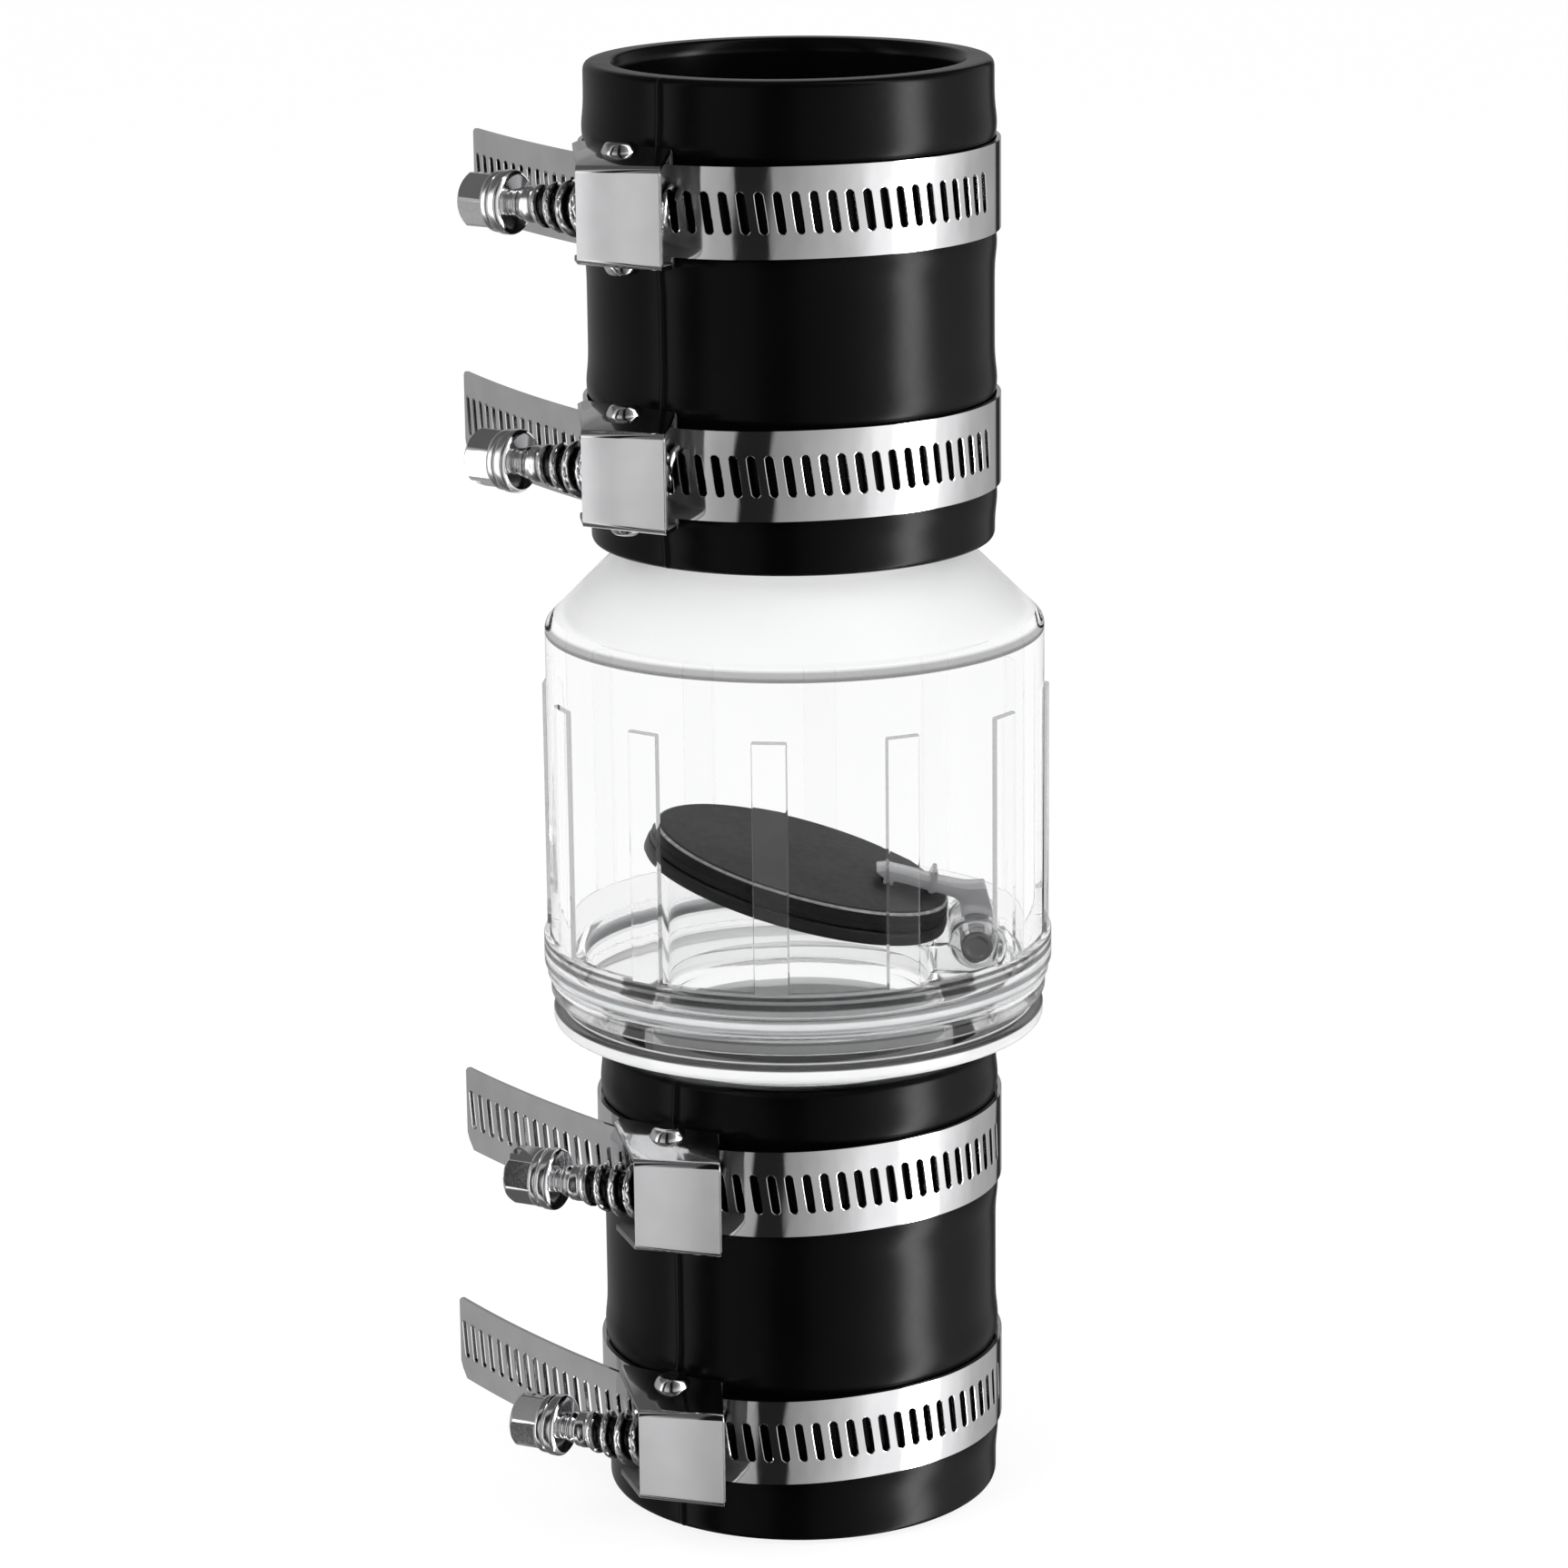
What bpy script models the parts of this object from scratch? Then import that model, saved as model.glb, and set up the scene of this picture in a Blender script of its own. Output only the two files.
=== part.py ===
"""Sump pump non-return valve, in metres with +Z up. The origin is on the valve's axis, at its inlet end.

A clear chamber in two mouldings holds a hinged flap on a slanted seat. Each end has a rubber
coupling that two worm-drive clamps close on the valve's neck and on the pipe.
"""
import math

import bmesh
import bpy
from mathutils import Matrix, Vector

MM = 0.001

# Clearances
CLEAR = 0.3 * MM  # between pieces that rest on each other
SNUG = 0.2 * MM  # between thin pieces that lie together
RUNNING = 0.15 * MM  # between the hinge pin and its bores
WELD = 0.001 * MM

# Rubber couplings
PIPE_RADIUS = 24.1 * MM
COUPLING_SLIP = 0.2 * MM
COUPLING_WALL = 4.7 * MM
COUPLING_LENGTH = 68.5 * MM
COUPLING_ROUND = 1.6 * MM
COUPLING_MOUTH = 0.9 * MM

# Necks that the couplings grip
NECK_ENGAGEMENT = 33.0 * MM
NECK_WALL = 3.0 * MM
NECK_CHAMFER = 0.8 * MM

# Base moulding, from the coupling's end upwards
BOSS_RADIUS = 27.0 * MM
BOSS_HEIGHT = 3.05 * MM
LIP_RADIUS = 36.0 * MM
LIP_HEIGHT = 2.35 * MM
LIP_ROUND = 0.9 * MM
GROOVE_RADIUS = 34.6 * MM
GROOVE_HEIGHT = 2.0 * MM
LAND_RADIUS = 36.3 * MM
LAND_HEIGHT = 2.4 * MM
SPIGOT_HEIGHT = 4.2 * MM
SPIGOT_WALL = 1.6 * MM
FLOOR_THICKNESS = 4.6 * MM

# Chamber moulding
CHAMBER_RADIUS = 36.1 * MM
CHAMBER_WALL = 3.0 * MM
CHAMBER_HEIGHT = 45.9 * MM
CONE_ANGLE = math.radians(45.0)
SHOULDER_ROUND = 1.2 * MM
COLLAR_RADIUS = 37.2 * MM
COLLAR_HEIGHT = 4.5 * MM
FOOT_RADIUS = 36.8 * MM
FOOT_HEIGHT = 1.9 * MM
RIB_COUNT = 12
RIB_WIDTH = 5.0 * MM
RIB_PROUD = 0.65 * MM
RIB_HEIGHT = 36.5 * MM
RIB_TURN = math.radians(5.9)

# Seal ring between the mouldings
SEAL_SECTION = 0.95 * MM

# Seat tube
SEAT_RADIUS = 20.5 * MM
SEAT_BORE = 19.0 * MM
SEAT_RISE = 11.7 * MM
SEAT_ANGLE = math.radians(16.0)

# Flap
FLAP_RADIUS = 22.5 * MM
FLAP_THICKNESS = 3.0 * MM
FLAP_ROUND = 0.5 * MM
FLAP_OFFSET = -0.6 * MM
FACING_RADIUS = 22.9 * MM
FACING_THICKNESS = 1.8 * MM
BUTTON_RADIUS = 4.0 * MM
BUTTON_HEIGHT = 1.8 * MM

# Hinge
PIN_RADIUS = 2.25 * MM
PIN_RISE = -0.9 * MM
EAR_RADIUS = 4.2 * MM
EAR_REACH = 1.3 * MM
EAR_THICKNESS = 2.5 * MM
ARM_WIDTH = 9.4 * MM
STRAP_WIDTH = 5.6 * MM
STRAP_THICKNESS = 1.3 * MM
STRAP_LIFT = 0.6 * MM
STRAP_LENGTH = 16.8 * MM
STRAP_TIP = 1.5 * MM
HEEL_RISE = 1.2 * MM
HEEL_INSET = 0.6 * MM
FOOT_DEPTH = 1.6 * MM
FOOT_WIDTH = 1.5 * MM
STAND_THICKNESS = 1.0 * MM
STAND_INSET = 2.8 * MM
STAND_HEIGHT = 1.5 * MM
BARREL_RADIUS = 3.9 * MM

# Worm-drive clamps
BAND_WIDTH = 12.7 * MM
BAND_THICKNESS = 0.6 * MM
BAND_STEP = 4.0 * MM
TONGUE_ANGLE = math.radians(22.0)
LAP_BLEND = math.radians(19.0)
LIFT_BLEND = math.radians(24.0)
TAIL_LEAVES = math.radians(20.0)
TAIL_CURVE = 220.0 * MM
TIP_MARGIN = 3.0 * MM
TIP_CUT = 2.2 * MM
TIP_TRIM = 0.8 * MM
SLOT_PITCH = 2.5 * MM
SLOT_WIDTH = 1.2 * MM
SLOT_LENGTH = 5.2 * MM
SLOT_LEAN = math.radians(8.0)
HOUSING_SHEET = 0.8 * MM
HOUSING_LENGTH = 12.3 * MM
HOUSING_HALF_WIDTH = 8.0 * MM
HOUSING_TAPER = 0.14
COVER_TILT = math.radians(12.0)
HOUSING_SCOOP = 8.5 * MM
HOUSING_UNDERCUT = 5.0 * MM
SCOOP_HEIGHT = 1.6 * MM
LIP_REACH = 3.6 * MM
LUG_RADIUS = 2.7 * MM
LUG_PROUD = 1.8 * MM
LUG_SHIFT = 5.2 * MM
LUG_SHEET = 0.6 * MM

# Clamp screw, along its axis from the clamp's middle towards the head
THREAD_RADIUS = 4.0 * MM
THREAD_ROOT = 2.6 * MM
THREAD_FIT = 0.25 * MM
THREAD_TIP = -2.6 * MM
THREAD_END = 18.2 * MM
TIP_RUNOUT = 3.9 * MM
NECK_RUNOUT = 3.4 * MM
SHANK_LENGTH = 2.3 * MM
FLANGE_RADIUS = 4.5 * MM
FLANGE_LENGTH = 4.0 * MM
FLANGE_BEVEL = 0.6 * MM
HEX_ACROSS = 7.4 * MM
HEX_LENGTH = 4.2 * MM
HEX_BEVEL = 0.5 * MM
DRIVE_WIDTH = 1.2 * MM
DRIVE_DEPTH = 1.6 * MM

# Where the clamps sit: how far the band's middle is from its coupling's nearer end, and the way
# the housing faces, turned from -Y towards -X
OUTLET_INSET = 17.6 * MM
INLET_INSET = 16.2 * MM
NECK_INSET = 14.5 * MM
OUTLET_CLAMP_TURN = math.radians(35.0)
INLET_CLAMP_TURN = math.radians(25.5)

# Each strip's loose tail, from where it leaves the housing, and how far the slots go on past it
OUTLET_END_TAIL = 38.0 * MM
OUTLET_NECK_TAIL = 44.5 * MM
INLET_NECK_TAIL = 43.0 * MM
INLET_END_TAIL = 47.0 * MM
SLOTTED_REACH = 58.0 * MM

# Facets
TURNED_SIDES = 32
SMALL_SIDES = 20
SCREW_SIDES = 12
ROUND_STEPS = 2

# Sizes that follow
COUPLING_BORE = PIPE_RADIUS + COUPLING_SLIP
COUPLING_RADIUS = COUPLING_BORE + COUPLING_WALL
LIP_BOTTOM = COUPLING_LENGTH + CLEAR + BOSS_HEIGHT
LIP_TOP = LIP_BOTTOM + LIP_HEIGHT
LAND_BOTTOM = LIP_TOP + GROOVE_HEIGHT
LAND_TOP = LAND_BOTTOM + LAND_HEIGHT
FLOOR_TOP = LIP_BOTTOM + FLOOR_THICKNESS
BODY_BOTTOM = LAND_TOP + CLEAR
COLLAR_BOTTOM = BODY_BOTTOM + FOOT_HEIGHT
COLLAR_TOP = COLLAR_BOTTOM + COLLAR_HEIGHT
SHOULDER = COLLAR_TOP + CHAMBER_HEIGHT
CONE_TOP = SHOULDER + (CHAMBER_RADIUS - PIPE_RADIUS) * math.tan(CONE_ANGLE)
OUTLET_COUPLING_BOTTOM = CONE_TOP + CLEAR
CHAMBER_BORE = CHAMBER_RADIUS - CHAMBER_WALL
NECK_BORE = PIPE_RADIUS - NECK_WALL
SPIGOT_RADIUS = CHAMBER_BORE - CLEAR
SEAL_CENTRE_RADIUS = SPIGOT_RADIUS + SNUG + SEAL_SECTION
SEAL_CENTRE_HEIGHT = LAND_TOP + SNUG + SEAL_SECTION
SEAT_CENTRE = LAND_TOP + SEAT_RISE
PIN_X = SEAT_RADIUS + EAR_REACH + EAR_RADIUS
PIN_Z = SEAT_CENTRE - SEAT_RADIUS * math.tan(SEAT_ANGLE) + PIN_RISE
LOOP_RADIUS = COUPLING_RADIUS + CLEAR + BAND_THICKNESS / 2
HOUSING_BOTTOM = COUPLING_RADIUS + CLEAR
FIXED_LAYER = HOUSING_BOTTOM + HOUSING_SHEET + SNUG + BAND_THICKNESS / 2
FREE_LAYER = FIXED_LAYER + BAND_THICKNESS + SNUG
SCREW_DISTANCE = FREE_LAYER + BAND_THICKNESS / 2 + THREAD_FIT + THREAD_RADIUS

RUBBER = ("black rubber", (0.012, 0.012, 0.013, 1.0), 0.42, 0.0)
CLEAR_PLASTIC = ("clear plastic", (0.86, 0.88, 0.90, 0.35), 0.08, 0.0)
SMOKE_PLASTIC = ("smoky clear plastic", (0.38, 0.39, 0.40, 0.75), 0.2, 0.0)
SILICONE = ("silicone", (0.70, 0.71, 0.72, 1.0), 0.4, 0.0)
PIN_PLASTIC = ("grey pin plastic", (0.11, 0.11, 0.12, 1.0), 0.35, 0.0)
FLAP_PLASTIC = ("flap plastic", (0.03, 0.03, 0.032, 1.0), 0.4, 0.0)
STEEL = ("stainless steel", (0.62, 0.62, 0.63, 1.0), 0.2, 1.0)
PLATED_STEEL = ("plated steel", (0.55, 0.55, 0.56, 1.0), 0.25, 1.0)


def clear_scene():
    """Removes every object, and makes the two collections."""
    for old in list(bpy.data.objects):
        bpy.data.objects.remove(old)
    for name in ("sump pump non-return valve", "cutters"):
        bpy.context.scene.collection.children.link(bpy.data.collections.new(name))


def in_collection(name, obj):
    bpy.data.collections[name].objects.link(obj)
    return obj


def material_of(finish):
    """The Principled material of a finish, made once."""
    name, colour, roughness, metallic = finish
    found = bpy.data.materials.get(name)
    if found:
        return found
    made = bpy.data.materials.new(name)
    made.use_nodes = True
    shader = made.node_tree.nodes["Principled BSDF"]
    shader.inputs["Base Color"].default_value = colour
    shader.inputs["Alpha"].default_value = colour[3]
    shader.inputs["Roughness"].default_value = roughness
    shader.inputs["Metallic"].default_value = metallic
    return made


def as_piece(name, mesh, finish, parent=None):
    """A piece of the valve, made from a mesh."""
    obj = in_collection("sump pump non-return valve", bpy.data.objects.new(name, mesh))
    if not mesh.materials:
        mesh.materials.append(material_of(finish))
    obj.parent = parent
    return obj


def as_cutter(name, mesh):
    """A helper that a Boolean cuts or joins with, left out of the valve."""
    obj = in_collection("cutters", bpy.data.objects.new(name, mesh))
    obj.hide_render = True
    obj.display_type = "WIRE"
    return obj


def boolean(obj, operation, other):
    modifier = obj.modifiers.new(operation.title(), "BOOLEAN")
    modifier.operation = operation
    modifier.solver = "EXACT"
    modifier.object = other


def mesh_from(name, bm):
    mesh = bpy.data.meshes.new(name)
    bm.to_mesh(mesh)
    bm.free()
    return mesh


def shade_round(mesh, angle=math.radians(35.0)):
    mesh.shade_smooth()
    mesh.set_sharp_from_angle(angle=angle)


def arc(centre_r, centre_z, radius, start, end, steps=ROUND_STEPS):
    """Points (radius, height) of a rounded corner, from start to end in degrees."""
    angles = [math.radians(start + (end - start) * i / steps) for i in range(steps + 1)]
    return [(centre_r + radius * math.cos(a), centre_z + radius * math.sin(a)) for a in angles]


def turned_mesh(name, outline, sides=TURNED_SIDES):
    """An outline of (radius, height) turned about Z, down the outside and up the inside.

    It is closed on itself, unless both its ends lie on the axis.
    """
    count = len(outline)
    on_axis = outline[0][0] == 0 and outline[-1][0] == 0
    edges = [(i, i + 1) for i in range(count - 1)] + ([] if on_axis else [(count - 1, 0)])
    mesh = bpy.data.meshes.new(name)
    mesh.from_pydata([(r, 0, z) for r, z in outline], edges, [])
    profile = bpy.data.objects.new(name + " profile", mesh)
    bpy.context.scene.collection.objects.link(profile)
    screw = profile.modifiers.new("Turn", "SCREW")
    screw.axis = "Z"
    screw.angle = 2 * math.pi
    screw.steps = screw.render_steps = sides
    screw.use_merge_vertices = True
    screw.merge_threshold = WELD
    return baked(profile)


def baked(obj):
    """The evaluated mesh of a helper object, welded. The helper is removed."""
    bpy.context.view_layer.update()
    graph = bpy.context.evaluated_depsgraph_get()
    mesh = bpy.data.meshes.new_from_object(obj.evaluated_get(graph))
    mesh.name = obj.name
    bpy.data.objects.remove(obj)
    bm = bmesh.new()
    bm.from_mesh(mesh)
    bmesh.ops.remove_doubles(bm, verts=bm.verts, dist=WELD)
    bmesh.ops.recalc_face_normals(bm, faces=bm.faces)
    bm.to_mesh(mesh)
    bm.free()
    mesh.materials.clear()
    return mesh


def plate_mesh(name, outline, thickness):
    """A flat outline of (x, y) points, thickened to both sides of its plane."""
    mesh = bpy.data.meshes.new(name)
    mesh.from_pydata([(x, y, 0) for x, y in outline], [], [range(len(outline))])
    return sheet_mesh(name, mesh, thickness)


def sheet_mesh(name, mesh, thickness):
    """An open surface, thickened to both sides."""
    sheet = bpy.data.objects.new(name, mesh)
    bpy.context.scene.collection.objects.link(sheet)
    solid = sheet.modifiers.new("Sheet", "SOLIDIFY")
    solid.thickness = thickness
    solid.offset = 0
    solid.use_even_offset = True
    return baked(sheet)


def add_box(bm, size, matrix):
    """A box of this size about the matrix's origin."""
    bmesh.ops.create_cube(bm, size=1.0, matrix=matrix @ Matrix.Diagonal((*size, 1.0)))


def add_cylinder(bm, radius, length, matrix, sides=SMALL_SIDES):
    """A cylinder along the matrix's Z axis, centred on its origin."""
    bmesh.ops.create_cone(
        bm, cap_ends=True, segments=sides, radius1=radius, radius2=radius, depth=length, matrix=matrix
    )


def coupling(name, bottom):
    """A rubber sleeve with rounded ends and a bevelled mouth."""
    top = COUPLING_LENGTH
    inner, outer, edge = COUPLING_BORE, COUPLING_RADIUS, COUPLING_ROUND
    outline = (
        arc(outer - edge, top - edge, edge, 90, 0)
        + arc(outer - edge, edge, edge, 0, -90)
        + [(inner + COUPLING_MOUTH, 0), (inner, COUPLING_MOUTH)]
        + [(inner, top - COUPLING_MOUTH), (inner + COUPLING_MOUTH, top)]
    )
    mesh = turned_mesh(name, outline)
    shade_round(mesh)
    obj = as_piece(name, mesh, RUBBER)
    obj.location.z = bottom
    return obj


def grip_ribs():
    """The raised grips round the chamber, as boxes that run into its wall."""
    bm = bmesh.new()
    depth = CHAMBER_WALL / 2 + RIB_PROUD
    for i in range(RIB_COUNT):
        turn = Matrix.Rotation(-RIB_TURN + 2 * math.pi * i / RIB_COUNT, 4, "Z")
        middle = Vector((0, -(CHAMBER_RADIUS + RIB_PROUD - depth / 2), COLLAR_TOP + RIB_HEIGHT / 2))
        sunk = Matrix.Translation((0, 0, -COLLAR_HEIGHT / 4))
        size = (RIB_WIDTH, depth, RIB_HEIGHT + COLLAR_HEIGHT / 2)
        add_box(bm, size, turn @ sunk @ Matrix.Translation(middle))
    return as_cutter("grip ribs", mesh_from("grip ribs", bm))


def chamber():
    """The clear upper moulding: neck, cone, chamber wall with grips, and the collar over the spigot."""
    pocket_radius = SEAL_CENTRE_RADIUS + SEAL_SECTION + SNUG
    pocket_top = SEAL_CENTRE_HEIGHT + SEAL_SECTION + SNUG
    neck_top = OUTLET_COUPLING_BOTTOM + NECK_ENGAGEMENT
    # The inner cone stays one wall below the outer one
    drop = CHAMBER_WALL * (1 / math.cos(CONE_ANGLE) - math.tan(CONE_ANGLE))
    inner_shoulder = SHOULDER - drop
    inner_cone_top = inner_shoulder + (CHAMBER_BORE - NECK_BORE) * math.tan(CONE_ANGLE)
    slope = math.degrees(CONE_ANGLE)
    outline = [(PIPE_RADIUS - NECK_CHAMFER, neck_top), (PIPE_RADIUS, neck_top - NECK_CHAMFER)]
    outline += [(PIPE_RADIUS, CONE_TOP)]
    rounding = SHOULDER_ROUND * math.tan(CONE_ANGLE / 2)
    outline += arc(CHAMBER_RADIUS - SHOULDER_ROUND, SHOULDER - rounding, SHOULDER_ROUND, 90 - slope, 0, 2)
    outline += [(CHAMBER_RADIUS, COLLAR_TOP), (COLLAR_RADIUS, COLLAR_TOP)]
    outline += [(COLLAR_RADIUS, COLLAR_BOTTOM), (FOOT_RADIUS, COLLAR_BOTTOM), (FOOT_RADIUS, BODY_BOTTOM)]
    outline += [(pocket_radius, BODY_BOTTOM), (pocket_radius, pocket_top), (CHAMBER_BORE, pocket_top)]
    outline += [(CHAMBER_BORE, inner_shoulder), (NECK_BORE, inner_cone_top), (NECK_BORE, neck_top)]
    mesh = turned_mesh("chamber", outline)
    shade_round(mesh)
    obj = as_piece("chamber", mesh, CLEAR_PLASTIC)
    boolean(obj, "UNION", grip_ribs())
    return obj


def seat_frame():
    """The seat's own frame: its X runs down the slant to the hinge, and its Z is square to the seat."""
    return Matrix.Translation((0, 0, SEAT_CENTRE)) @ Matrix.Rotation(SEAT_ANGLE, 4, "Y")


def base():
    """The clear lower moulding: neck, flanges, spigot and the slanted seat tube with its hinge ears."""
    neck_bottom = COUPLING_LENGTH - NECK_ENGAGEMENT
    tube_top = SEAT_CENTRE + SEAT_RADIUS * math.tan(SEAT_ANGLE) + CLEAR
    bore_step = LIP_BOTTOM + FLOOR_THICKNESS / 2
    outline = [(SEAT_RADIUS, tube_top), (SEAT_RADIUS, FLOOR_TOP)]
    outline += [(SPIGOT_RADIUS - SPIGOT_WALL, FLOOR_TOP), (SPIGOT_RADIUS - SPIGOT_WALL, LAND_TOP + SPIGOT_HEIGHT)]
    outline += [(SPIGOT_RADIUS, LAND_TOP + SPIGOT_HEIGHT), (SPIGOT_RADIUS, LAND_TOP)]
    outline += [(LAND_RADIUS, LAND_TOP), (LAND_RADIUS, LAND_BOTTOM)]
    outline += [(GROOVE_RADIUS, LAND_BOTTOM), (GROOVE_RADIUS, LIP_TOP), (LIP_RADIUS, LIP_TOP)]
    outline += arc(LIP_RADIUS - LIP_ROUND, LIP_BOTTOM + LIP_ROUND, LIP_ROUND, 0, -90, 2)
    outline += [(BOSS_RADIUS, LIP_BOTTOM), (BOSS_RADIUS, LIP_BOTTOM - BOSS_HEIGHT)]
    outline += [(PIPE_RADIUS, LIP_BOTTOM - BOSS_HEIGHT)]
    outline += [(PIPE_RADIUS, neck_bottom + NECK_CHAMFER), (PIPE_RADIUS - NECK_CHAMFER, neck_bottom)]
    outline += [(NECK_BORE, neck_bottom), (NECK_BORE, bore_step - (NECK_BORE - SEAT_BORE))]
    outline += [(SEAT_BORE, bore_step), (SEAT_BORE, tube_top)]
    mesh = turned_mesh("base", outline)
    shade_round(mesh)
    obj = as_piece("base", mesh, CLEAR_PLASTIC)
    bm = bmesh.new()
    reach = 3 * SEAT_RADIUS
    add_box(bm, (reach, reach, reach), seat_frame() @ Matrix.Translation((0, 0, reach / 2)))
    boolean(obj, "DIFFERENCE", as_cutter("slant of the seat", mesh_from("slant of the seat", bm)))
    for side in (-1, 1):
        boolean(obj, "UNION", hinge_ear(side))
    bm = bmesh.new()
    along_y = Matrix.Translation((PIN_X, 0, PIN_Z)) @ Matrix.Rotation(math.pi / 2, 4, "X")
    add_cylinder(bm, PIN_RADIUS + RUNNING, ARM_WIDTH + 4 * EAR_THICKNESS, along_y)
    boolean(obj, "DIFFERENCE", as_cutter("pin bore", mesh_from("pin bore", bm)))
    return obj


def hinge_ear(side):
    """One ear: a round eye for the pin and a web back to the seat tube, below the flap."""
    bm = bmesh.new()
    middle = side * (ARM_WIDTH / 2 + CLEAR + EAR_THICKNESS / 2)
    eye = Matrix.Translation((PIN_X, middle, PIN_Z)) @ Matrix.Rotation(math.pi / 2, 4, "X")
    add_cylinder(bm, EAR_RADIUS, EAR_THICKNESS, eye)
    eye_mesh = as_cutter(f"hinge eye {side}", mesh_from("hinge eye", bm))
    bm = bmesh.new()
    start = math.sqrt(((SEAT_RADIUS + SEAT_BORE) / 2) ** 2 - middle**2)
    web_top = PIN_Z - PIN_RISE - EAR_REACH * math.tan(SEAT_ANGLE) - CLEAR
    web_bottom = PIN_Z - EAR_RADIUS * 0.9
    size = (PIN_X - start, EAR_THICKNESS * 0.96, web_top - web_bottom)
    place = Vector(((PIN_X + start) / 2, middle, (web_top + web_bottom) / 2))
    add_box(bm, size, Matrix.Translation(place))
    web = as_cutter(f"ear {side}", mesh_from("ear", bm))
    boolean(web, "UNION", eye_mesh)
    return web


def seal_ring():
    """The ring that the chamber's foot presses on the base's land."""
    outline = arc(SEAL_CENTRE_RADIUS, SEAL_CENTRE_HEIGHT, SEAL_SECTION, 90, -270, 6)[:-1]
    mesh = turned_mesh("seal_ring", outline)
    shade_round(mesh, math.radians(60.0))
    return as_piece("seal_ring", mesh, SILICONE)


def hinge_pin():
    mesh = turned_mesh("hinge_pin", pin_outline(), SMALL_SIDES)
    shade_round(mesh)
    obj = as_piece("hinge_pin", mesh, PIN_PLASTIC)
    obj.location = (PIN_X, 0, PIN_Z)
    obj.rotation_euler.x = math.pi / 2
    return obj


def pin_outline():
    """A plain pin with bevelled ends, as long as the ears are apart."""
    half = ARM_WIDTH / 2 + CLEAR + EAR_THICKNESS
    bevel = PIN_RADIUS / 6
    upper = [(0, half), (PIN_RADIUS - bevel, half), (PIN_RADIUS, half - bevel)]
    return upper + [(r, -z) for r, z in reversed(upper)]


def flap_empty():
    """The hinge that the flap's pieces hang on, at the pin."""
    hinge = in_collection("sump pump non-return valve", bpy.data.objects.new("flap hinge", None))
    hinge.location = (PIN_X, 0, PIN_Z)
    bpy.context.view_layer.update()
    return hinge


def on_seat(obj, hinge, x, z):
    """Places a flap piece by its point on the seat frame, under the hinge."""
    obj.parent = hinge
    obj.matrix_basis = Matrix.Translation(hinge.location).inverted() @ seat_frame() @ Matrix.Translation((x, 0, z))


def flap_facing(hinge):
    """The rubber facing that closes the seat, with the button that holds it to the flap."""
    thick, edge = FACING_THICKNESS, FACING_THICKNESS / 4
    outline = [(0, thick + BUTTON_HEIGHT), (BUTTON_RADIUS, thick + BUTTON_HEIGHT), (BUTTON_RADIUS, thick)]
    outline += [(FACING_RADIUS - edge, thick), (FACING_RADIUS, thick - edge)]
    outline += [(FACING_RADIUS, edge), (FACING_RADIUS - edge, 0), (0, 0)]
    mesh = turned_mesh("flap_facing", outline)
    shade_round(mesh)
    on_seat(as_piece("flap_facing", mesh, RUBBER), hinge, FLAP_OFFSET, CLEAR)


def flap_disc(hinge):
    """The flap's stiff disc, with a blind hole for the facing's button and a pocket for the arm's foot."""
    hole, hole_depth = BUTTON_RADIUS + SNUG, BUTTON_HEIGHT + SNUG
    outline = [(0, FLAP_THICKNESS)] + arc(
        FLAP_RADIUS - FLAP_ROUND, FLAP_THICKNESS - FLAP_ROUND, FLAP_ROUND, 90, 0, 2
    )
    outline += [(FLAP_RADIUS, 0), (hole, 0), (hole, hole_depth), (0, hole_depth)]
    mesh = turned_mesh("flap_disc", outline)
    shade_round(mesh)
    obj = as_piece("flap_disc", mesh, FLAP_PLASTIC)
    on_seat(obj, hinge, FLAP_OFFSET, CLEAR + FACING_THICKNESS + SNUG)
    bm = bmesh.new()
    size = (FOOT_WIDTH + 2 * SNUG, STRAP_WIDTH + 2 * SNUG, 2 * (FOOT_DEPTH + SNUG))
    foot_x = strap_start() + STRAP_TIP + FOOT_WIDTH / 2
    add_box(bm, size, seat_frame() @ Matrix.Translation((foot_x, 0, flap_top())))
    boolean(obj, "DIFFERENCE", as_cutter("pocket for the arm", mesh_from("pocket for the arm", bm)))


def flap_top():
    """Height of the flap's upper face over the seat."""
    return CLEAR + FACING_THICKNESS + SNUG + FLAP_THICKNESS


def pin_on_seat():
    """The pin's place (x, z) in the seat's frame."""
    point = seat_frame().inverted() @ Vector((PIN_X, 0, PIN_Z))
    return point.x, point.z


def strap_start():
    return pin_on_seat()[0] - STRAP_LENGTH


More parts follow.
